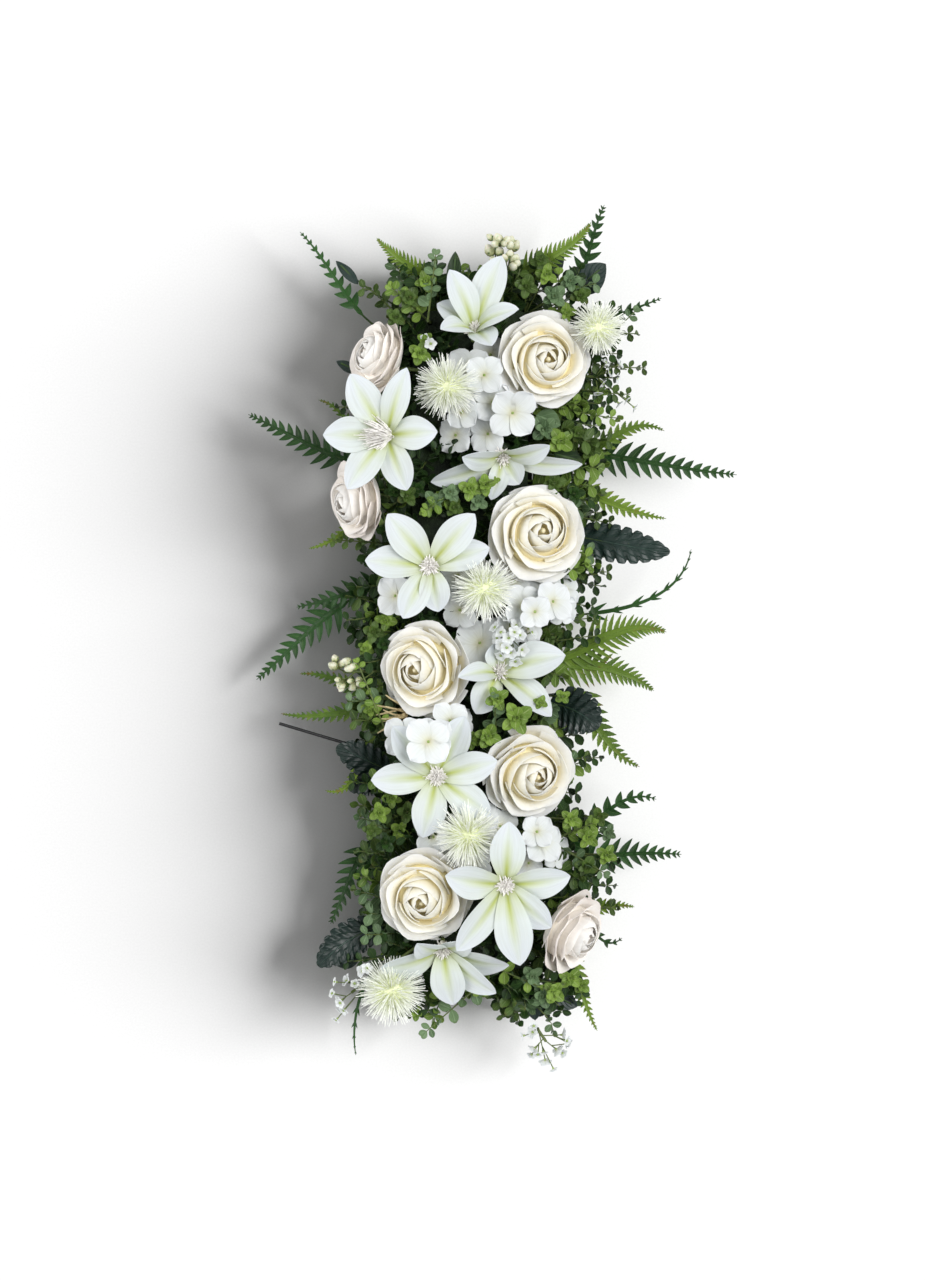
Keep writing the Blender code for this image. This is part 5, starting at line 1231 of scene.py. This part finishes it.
def frond_web(piece, path_at, kept, pairs, widest, foot, finish, tone):
    """Green web along a frond's rib, which joins the feet of its leaflets and ends in the tip."""
    places = np.linspace(foot - 0.03, 1.0, 24)
    grid = np.empty((len(places), 5, 3))
    for row, place in enumerate(places):
        here, _, side, above = axes_along(path_at, place)
        share = float(np.clip((place - BARE_STALK) / (1 - BARE_STALK), 0, 1))
        pair = min(int(share * pairs), pairs - 1)
        half = widest * (1 - share) ** 0.8 + 1.2 * (1 - share) ** 0.5 + 0.15
        half *= ease(-0.04, 0.06, place - foot)
        left = half if kept[pair, -1] else half * 0.3
        right = half if kept[pair, 1] else half * 0.3
        for column, reach in enumerate((-left, -left / 2, 0, right / 2, right)):
            grid[row, column] = here + side * reach + above * (0.3 * abs(reach) + 0.5)
    piece.sheet(grid, finish, tone, LEAF)


def frond(piece, solid, mouth, leaf, first, dice, look):
    """Fern frond: a tapering rib with pairs of curved leaflets, which crowd towards the tip."""
    longest, pairs = leaf[2:]
    found = find_frond(solid, mouth, leaf, pairs)
    if found is None:
        return first
    path_at, kept = found
    leaf_finish, rib_finish, fine, width, rows, teeth, depth, taper, web, foot = look
    path = np.vstack((root_of(mouth, first), path_at(np.linspace(0, 1, 30))))
    piece.rods(path, np.linspace(RIB_RADIUS, 0.35, len(path)), rib_finish, 6)
    wisp = longest < WISP_UNDER
    count = round(pairs * (1.1 if wisp else fine) * (LEAFLETS_END - foot) / (LEAFLETS_END - BARE_STALK))
    steps = 1 - (1 - np.linspace(0, 1, count)) ** LEAFLET_CROWDING
    places = foot + (LEAFLETS_END - foot) * steps
    rib_length = np.linalg.norm(path_at(RIB_END) - path_at(BARE_STALK)) / (RIB_END - BARE_STALK)
    gaps = np.diff(np.append(places, RIB_END)) * rib_length
    tone = dice.uniform(0.2, 0.8)
    frond_web(piece, path_at, kept, pairs, web * longest, foot, leaf_finish, tone)
    for place, gap in zip(places, gaps):
        share = max((place - BARE_STALK) / (1 - BARE_STALK), 0)
        here, tangent, side, above = axes_along(path_at, place)
        pair = min(int(share * pairs), pairs - 1)
        for hand in (1, -1):
            if not kept[pair, hand]:
                continue
            length = max(longest * (1 - taper * share ** 1.15) * dice.uniform(0.92, 1.05), 1.6)
            if wisp:
                length *= dice.uniform(0.7, 1.7)
            slant = LEAFLET_SLANT + (WISP_SLANT if wisp else 0.35 * share) + dice.uniform(-0.08, 0.08)
            way = unit(hand * side + slant * tangent)
            widest = min(width * gap, length * (0.3 if wisp else 0.7))
            halves = pinna_halves(rows, widest, teeth, depth)
            grid = leaf_grid(here, way, above, length, halves, 3, LEAFLET_DROOP, 0.35)
            bend = np.linspace(0, 1, rows)[:, None, None] ** 2
            grid = grid + tangent * bend * length * 0.16
            piece.sheet(grid, leaf_finish, np.clip(tone + dice.uniform(-0.25, 0.25), 0, 1), LEAF)
    return False


def foliage(piece, solid, dice, mouth, leaves, grow, *look):
    """Fronds or leaves that share one root in the side of the foam."""
    first = True
    for leaf in leaves:
        first = grow(piece, solid, mouth, leaf, first, dice, *look)


def lobed_leaf(piece, solid, mouth, leaf, first, dice):
    """Broad leaf with rounded lobes and a sunken vein to each."""
    widest, lobes = leaf[2:]
    found = find_frond(solid, mouth, leaf, lobes)
    if found is None:
        return first
    path_at, _ = found
    path = np.vstack((root_of(mouth, first), path_at(np.linspace(0, 0.98, 24))))
    piece.rods(path, np.linspace(1.6, 0.5, len(path)), "rib_dark", 6)
    rows, columns = 16 * lobes, 13
    across = np.linspace(-1, 1, columns)
    spread = np.abs(across)
    share = np.linspace(0, 1, rows)
    phase = share * (lobes * 1.35 + 0.4)
    scallop = 1 - 0.36 * (1 - 0.6 * share) * np.abs(np.cos(math.pi * phase)) ** 7
    half = widest / 2 * np.sin(math.pi * (0.10 + 0.90 * share ** 0.9)) ** 0.65 * scallop + 0.3
    grid = np.empty((rows, columns, 3))
    for row, place in enumerate(np.linspace(BARE_STALK - 0.04, 1.0, rows)):
        here, tangent, side, above = axes_along(path_at, place)
        lift = 0.10 * spread - 0.10 * spread ** 2
        lift = lift + 0.10 * spread * np.cos(2 * math.pi * (phase[row] - 0.35 * spread))
        ahead = 0.30 * spread * half[row]
        grid[row] = (here + np.outer(half[row] * across, side) + np.outer(half[row] * lift + 0.6, above)
                     + np.outer(ahead, tangent))
    piece.sheet(grid, "lobed", dice.uniform(0.2, 0.7), LEAF)
    return False


def branch_path(start, tip, wave, share):
    """Curve of a branch that rises from a fork."""
    start = np.array(start, float)
    tip = np.array(tip, float)
    pull = (tip - start) * BRANCH_PULL
    return bezier((start, start + pull + (0, 0, wave), tip - pull + (0, 0, wave), tip), share)


def round_leaf(piece, root, way, up, length, finish, shade, dice, rows=7, columns=5):
    """Small blunt leaf, fullest past its middle, cupped and slightly twisted."""
    along = np.linspace(0, 1, rows)
    halves = length * dice.uniform(0.32, 0.42) * np.sin(math.pi * (0.02 + 0.95 * along ** 1.15)) ** 0.6
    up = unit(up) + dice.normal(0, 0.15, 3)
    grid = leaf_grid(root, way, up, length, halves, columns, droop=dice.uniform(-0.1, 0.2), fold=0.28)
    piece.sheet(grid, finish, shade, LEAF)


def leafy(piece, path_at, places, leaf, finish, dice, avoid, clearance, tone, size=(7, 5)):
    """Whorls of small leaves along a twig, each turned a quarter from the last."""
    for number, place in enumerate(places):
        here, tangent, side, above = axes_along(path_at, place)
        turn = math.pi / 2 * (number % 2) + dice.uniform(-0.35, 0.35)
        length = leaf * (1 - 0.4 * place) * dice.uniform(0.85, 1.1)
        for hand in (1, -1):
            out = hand * (side * math.cos(turn) + above * math.sin(turn))
            way = unit(out + 0.45 * tangent + (0, 0, 0.15))
            end = here + way * length
            if end[2] < LOWEST_LEAF or avoid.under(end):
                continue
            if min(avoid.gap(end), avoid.gap((here + end) / 2)) < clearance:
                continue
            shade = float(np.clip(tone + dice.uniform(-0.35, 0.35), 0, 1))
            upward = above if abs(way[2]) < 0.9 else side
            round_leaf(piece, here + out * 0.6, way, upward, length, finish, shade, dice, *size)


def sprig(piece, solid, dice, fork, branches, sage, blooms):
    """Branches of small round leaves that leave one stem."""
    facing = heading(0, 90)
    place = solid.stem_place()
    add_stem(piece, fork, facing, place, TWIG_RADIUS)
    starts = stem_points(fork, facing, place, len(branches))
    for order, (start, (tip, leaf, pairs)) in enumerate(zip(starts, branches)):
        best, gap = closest(solid, [branch_path(start, tip, wave, 0.5) for wave in BRANCH_WAVES])
        if gap > BRANCH_WITHIN:
            continue

        def path_at(share):
            return branch_path(start, tip, BRANCH_WAVES[best], share)

        piece.rods(path_at(np.linspace(0, 1, 14)), np.linspace(1.1, 0.5, 14), "stem", 6)
        finish = "sage" if order == sage else "lime"
        places = np.linspace(BRANCH_LEAVES_FROM, BRANCH_LEAVES_TO, round(pairs * 1.8))
        leafy(piece, path_at, places, leaf * 0.95, finish, dice, blooms, SPRIG_LEAF_CLEAR, 0.6)
        end, tangent, side, above = axes_along(path_at, 0.99)
        for turn in range(3):
            angle = 2 * math.pi * turn / 3 + dice.uniform(0, 1)
            way = unit(tangent + 0.6 * (side * math.cos(angle) + above * math.sin(angle)))
            round_leaf(piece, end, way, np.cross(way, side), leaf * 0.5, finish, 0.9, dice)


def cluster(piece, solid, dice, end, radius, places, grow, nearness, extras, rise, back):
    """Berries or tiny flowers on thin stalks, each with smaller ones round it."""
    place = solid.stem_place()
    add_stem(piece, end, heading(0, 90), place, TWIG_RADIUS)
    starts = stem_points(end, heading(0, 90), place, len(places), STALKS_TO)
    for start, centre in zip(starts, places):
        centre = np.array(centre, float)
        if solid.gap(centre) > radius * nearness:
            continue
        way = unit(centre - start)
        grow(piece, start, centre, radius, dice)
        for _ in range(extras):
            apart = unit(dice.normal(0, 1, 3) + (0, 0, rise)) * radius * 1.5
            apart = apart - way * max(np.dot(apart, way), 0) * back
            grow(piece, (start + centre) / 2, centre + apart, radius * dice.uniform(0.6, 0.85), dice)


def berry(piece, start, centre, radius, dice):
    """Berry on a thin stalk, with a ring of four bracts."""
    way = unit(centre - start)
    profile = [(0, -radius)]
    for step in np.linspace(-0.8, 0.8, 6):
        profile.append((radius * 0.86 * math.cos(math.asin(step)), radius * step))
    profile += [(radius * 0.24, radius * 1.08), (0, radius * 1.2)]
    piece.globe(centre, way, profile, "berry", 10, dice.uniform(0, 1))
    sag = (start + centre) / 2 + (0, 0, 2)
    piece.rods(curve(6, start, sag, sag, centre - way * radius * 0.8), 0.7, "stem", 5)
    axes = spin(way)
    for turn in range(4):
        out = spoke(axes, math.pi / 2 * turn + dice.uniform(-0.3, 0.3), 0.5)
        root = centre - way * radius * 0.9
        grid = leaf_grid(root, out, way, radius * 1.3, egg(6, radius * 0.8), 3, droop=-0.35, fold=0.2)
        piece.sheet(grid, "sage", dice.uniform(0.3, 1), LEAF)


def star_flower(piece, start, centre, radius, dice):
    """Tiny flower with five round petals on a thin stalk."""
    way = unit(centre - start)
    axes = spin(way)
    for turn in range(5):
        angle = 2 * math.pi * turn / 5 + dice.uniform(-0.15, 0.15)
        out = spoke(axes, angle, 0.45 + dice.uniform(-0.2, 0.2))
        grid = leaf_grid(centre - way * 2, out, way, radius, egg(6, radius * 0.85, 1.3, 0.05), 3, 0.05, 0.25)
        piece.sheet(grid, "voile", dice.uniform(0, 1), LEAF)
    piece.globe(centre - way, way, STAR_EYE, "lime", 6, 0.8)
    sag = (start + centre) / 2 + (0, 0, 2)
    piece.rods(curve(6, start, sag, sag, centre - way * 3), 0.6, "stem", 5)


def stem_end():
    """Bare black rod that sticks out of the foam's side."""
    mouth, tip = (np.array(point, float) for point in STEM_END)
    bend = mouth + outward_from(mouth) * 8
    path = np.vstack((root_of(mouth), curve(14, mouth, bend, bend, tip)))
    piece = Piece("wire_stem_end")
    piece.rods(path, STEM_END_RADIUS, "black_wire", 12)
    piece.make(["stem_end"])


def side_filler(piece, blooms, side, dice):
    """Leafy twigs out of one side of the foam, which hide the foam and the tray."""
    reaches = REACH_RIGHT if side > 0 else REACH_LEFT
    for step, low, high, rise in FILLER_LAYERS:
        for y in np.arange(*SIDE_MOUTHS, step):
            for _ in range(FILLER_TRIES):
                mouth = np.array((side * FOAM_HALF_WIDTH, y + dice.uniform(-5, 5), dice.uniform(low, high)))
                reach = np.interp(mouth[1], REACH_AT, reaches) * dice.uniform(0.72, 1.02)
                tip = np.array((reach, mouth[1] + dice.uniform(-24, 24), mouth[2] + dice.uniform(*rise)))
                if add_filler_twig(piece, mouth, tip, blooms, dice):
                    break


def end_filler(piece, blooms, dice):
    """Leafy twigs out of the two ends of the foam."""
    for end in (1, -1):
        for x in np.arange(*END_MOUTHS):
            for _, low, high, rise in FILLER_LAYERS:
                for _ in range(FILLER_TRIES):
                    mouth = np.array((x, end * FOAM_HALF_LENGTH, dice.uniform(low, high)))
                    short = end < 0 and SHORT_END[0] < x < SHORT_END[1]
                    reach = SHORT_END_REACH if short else dice.uniform(*END_REACH)
                    across = x * 1.3 + dice.uniform(-14, 14)
                    tip = np.array((across, end * reach, mouth[2] + dice.uniform(*rise)))
                    if add_filler_twig(piece, mouth, tip, blooms, dice):
                        break


def placed_twigs(piece, blooms, dice):
    """Leafy twigs that reach past the rest, each where the real arrangement has one."""
    for mouth, tip, finish, leaf in PLACED_TWIGS:
        add_filler_twig(piece, np.array(mouth, float), np.array(tip, float), blooms, dice, finish, leaf,
                        PLACED_TWIG_CLEAR)


def add_filler_twig(piece, mouth, tip, blooms, dice, finish=None, leaf=None, clearance=TWIG_CLEAR):
    """Adds a twig with its leaves, unless it would run into a bloom. Tells whether it did."""
    outward = outward_from(mouth)
    finish = finish or FILLER_FINISHES[int(dice.integers(0, len(FILLER_FINISHES)))]
    reach = np.linalg.norm(tip - mouth)
    lift = np.array((0, 0, dice.uniform(0, 12)))
    corners = (mouth, mouth + outward * 0.35 * reach + lift, tip - outward * 0.3 * reach + lift, tip)

    def path_at(share):
        return bezier(corners, share)

    path = np.vstack((mouth - outward * 8, path_at(np.linspace(0, 1, 8))))
    if min(blooms.gap(point) for point in path[2:]) < clearance:
        return False
    piece.rods(path, np.linspace(1.2, 0.5, len(path)), "stem", 4)
    places = np.linspace(0.12, 0.97, int(reach / 9) + 2)
    leafy(piece, path_at, places, leaf or dice.uniform(*FILLER_LEAF), finish, dice, blooms,
          TWIG_LEAF_CLEAR, dice.uniform(0.3, 0.7), FILLER_LEAF_GRID)
    return True


def rosettes(piece, blooms, dice):
    """Whorls of round leaves, one over another, that show between the blooms."""
    for middle, width, finish in ROSETTES:
        for drop in ROSETTE_DROPS:
            heart = np.array(middle, float) + (0, 0, drop)
            ring = [heading(turn, 15) * width * 0.45 for turn in range(0, 360, 45)]
            near = min(blooms.gap(heart + way) for way in ring)
            if near > ROSETTE_CLEAR and blooms.gap(heart) > ROSETTE_HEART_CLEAR:
                break
        else:
            continue
        if abs(heart[0]) < FOAM_HALF_WIDTH and abs(heart[1]) < FOAM_HALF_LENGTH:
            foot = np.array((*heart[:2], FOAM_TOP - 4))
        else:
            edge = np.array((FOAM_HALF_WIDTH, FOAM_HALF_LENGTH)) - 3
            foot = np.array((*np.clip(heart[:2], -edge, edge), FOAM_TOP - 16))
        path = curve(9, heart + (0, 0, 3), heart - (0, 0, 12), (heart + foot) / 2, foot)
        piece.rods(path, 0.9, "stem", 5)
        start = dice.uniform(0, 90)
        for tier, (share, elevation, sink, rows, columns) in enumerate(ROSETTE_TIERS):
            for leaf in range(4):
                turn = start + 90 * leaf + 45 * tier + dice.uniform(-12, 12)
                way = heading(turn, elevation + dice.uniform(-8, 8))
                root = heart - (0, 0, sink)
                up = np.array((0, 0, 1.0)) - way * way[2]
                shade = dice.uniform(0.35, 1)
                round_leaf(piece, root, way, up, width * share, finish, shade, dice, rows, columns)


def placed_leaves(piece, dice):
    """Larger single leaves, each where the real arrangement shows one."""
    for foot, root, tip, width, finish in SINGLE_LEAVES:
        foot, root, tip = (np.array(point, float) for point in (foot, root, tip))
        way = tip - root
        piece.rods(curve(8, foot, (foot + root) / 2, root, root + way * 0.8), 0.9, "rib_dark", 5)
        grid = leaf_grid(root, way, (0.2, 0, 1), np.linalg.norm(way), egg(15, width, 0.9), 9, 0.08, 0.25)
        piece.sheet(grid, finish, dice.uniform(0.2, 0.7), LEAF)


def star_sprays(piece, dice):
    """Tiny white stars on branching stalks, in the middle and along the right side."""
    for foot, fork, radius, places in STAR_SPRAYS:
        foot = np.array(foot, float)
        fork = np.array(fork, float)
        piece.rods(curve(6, foot, (foot * 2 + fork) / 3, (foot + fork * 2) / 3, fork), 0.9, "stem", 5)
        for place in places:
            star_flower(piece, fork, np.array(place, float), radius * dice.uniform(0.8, 1.1), dice)


def top_filler(piece, blooms, dice):
    """Short leafy twigs on top of the foam, deep between the blooms."""
    for y in np.arange(*TOP_ROWS):
        for x in np.arange(*TOP_COLUMNS):
            mouth = np.array((x + dice.uniform(-6, 6), y + dice.uniform(-6, 6), FOAM_TOP - 0.5))
            tip = mouth + (dice.uniform(-16, 16), dice.uniform(-16, 16), dice.uniform(14, 30))

            def path_at(share):
                return mouth + np.multiply.outer(share, tip - mouth)

            path = path_at(np.linspace(0, 1, 5))
            if min(blooms.gap(point) for point in path) < TOP_TWIG_CLEAR:
                continue
            path[0, 2] -= 6
            piece.rods(path, np.linspace(1.1, 0.6, 5), "stem", 5)
            leafy(piece, path_at, np.linspace(0.3, 0.95, 4), dice.uniform(*TOP_LEAF), "deep", dice, blooms,
                  TOP_LEAF_CLEAR, 0.35, FILLER_LEAF_GRID)


def tan_twigs(piece, dice):
    """Comb of pale dried fingers that lies under the left-facing rose."""
    heart, foot = (np.array(point, float) for point in TAN_TWIGS)
    piece.rods(curve(10, foot, foot + (0, 0, 14), heart + (12, 6, -4), heart), 1.3, "twig", 6)
    for _ in range(16):
        start = heart + (dice.uniform(-8, 0), dice.uniform(-9, 9), dice.uniform(-3, 2))
        way = unit((-1, dice.uniform(-0.7, 0.6), dice.uniform(-0.15, 0.3)))
        length = dice.uniform(16, 32)
        knee = start + way * length * 0.5 + (0, dice.uniform(-3, 3), 2)
        path = curve(8, heart, start, knee, start + way * length)
        piece.rods(path, TAN_TWIG_RADII, "twig", 6, dice.uniform(0, 1))


def add_lamp(name, place, spread, strength, paper, link):
    """Far-off soft light from an azimuth and elevation, for the paper alone or for all but it."""
    light = bpy.data.lights.new(name, "SUN")
    light.energy = strength
    light.angle = math.radians(spread)
    lamp = bpy.data.objects.new(name, light)
    lamp.location = heading(*place)
    lamp.rotation_euler = Vector(heading(*place)).to_track_quat("Z", "Y").to_euler()
    bpy.context.scene.collection.objects.link(lamp)
    takers = bpy.data.collections.new(name + " takers")
    takers.objects.link(paper)
    takers.collection_objects[0].light_linking.link_state = link
    lamp.light_linking.receiver_collection = takers


def light_and_camera():
    """Paper floor, even room light, three soft lights and the camera straight above.

    The low window lights the paper alone, for its long soft shadow. The softbox and the reflector
    light all but the paper.
    """
    scene = bpy.context.scene
    floor = bpy.data.meshes.new("floor")
    corners = [(x * FLOOR_HALF, y * FLOOR_HALF, 0) for x, y in ((-1, -1), (1, -1), (1, 1), (-1, 1))]
    floor.from_pydata(corners, [], [(0, 1, 2, 3)])
    floor.materials.append(paper_sweep())
    paper = bpy.data.objects.new("floor", floor)
    scene.collection.objects.link(paper)

    world = bpy.data.worlds.new("studio")
    world.use_nodes = True
    world.node_tree.nodes["Background"].inputs["Color"].default_value = (1, 1, 1, 1)
    world.node_tree.nodes["Background"].inputs["Strength"].default_value = WORLD_STRENGTH
    scene.world = world

    add_lamp("low window", *WINDOW, paper, "INCLUDE")
    add_lamp("softbox", *SOFTBOX, paper, "EXCLUDE")
    add_lamp("reflector", *REFLECTOR, paper, "EXCLUDE")

    lens = bpy.data.cameras.new("camera")
    lens.sensor_fit = "VERTICAL"
    lens.sensor_height = SENSOR
    lens.lens = SENSOR * CAMERA_HEIGHT / FRAME_HEIGHT
    lens.clip_end = 100
    camera = bpy.data.objects.new("camera", lens)
    camera.location = (CAMERA_X * MM, 0, (CAMERA_HEIGHT + FOCUS_HEIGHT) * MM)
    scene.collection.objects.link(camera)
    scene.camera = camera
    scene.view_settings.view_transform = "Standard"


def dress(kind, build, table, *extra):
    """Builds the finer piece for each CAD node of one kind."""
    made_of, seed = KINDS[kind]
    for number, values in enumerate(table, 1):
        name = f"{kind}_{number}"
        piece = Piece(f"{made_of}_{name}")
        build(piece, Solid(name), np.random.default_rng(seed + number), *values, *extra)
        piece.make([name])


def fill(name, build, *values):
    """Builds a piece of loose growth."""
    slot, seed = LOOSE[name]
    piece = Piece(name)
    build(piece, *values, np.random.default_rng(seed))
    piece.make()


def main():
    for name, finish in (("foam", phenolic_foam()), ("tray", moulded_tray())):
        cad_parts[name].data.materials.clear()
        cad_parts[name].data.materials.append(finish)
    blooms = Solid(*(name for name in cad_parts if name.startswith(BLOOM_NAMES)))
    dress("rose", rose, ROSES)
    dress("clematis", clematis, CLEMATIS)
    dress("pincushion", pincushion, PINCUSHIONS)
    dress("hydrangea", hydrangea, HYDRANGEAS)
    fill("voile_fill", fill_florets, blooms)
    dress("fern_dark", foliage, FERNS_DARK, frond, FERN_LOOK_DARK)
    dress("fern_light", foliage, FERNS_LIGHT, frond, FERN_LOOK_LIGHT)
    dress("dark_leaf", foliage, DARK_LEAVES, lobed_leaf)
    dress("sprig", sprig, SPRIGS, blooms)
    dress("berry_sprig", cluster, BERRY_SPRIGS, berry, *BERRY_CLUSTER)
    dress("waxflower", cluster, WAXFLOWERS, star_flower, *FLOWER_CLUSTER)
    stem_end()
    fillers = ((side_filler, -1), (side_filler, 1), (end_filler,), (top_filler,), (placed_twigs,),
               (rosettes,))
    for number, (build, *side) in enumerate(fillers, 1):
        fill(f"moulded_filler_{number}", build, blooms, *side)
    fill("cloth_single_leaves", placed_leaves)
    fill("voile_stars", star_sprays)
    fill("dried_twigs", tan_twigs)
    light_and_camera()


main()
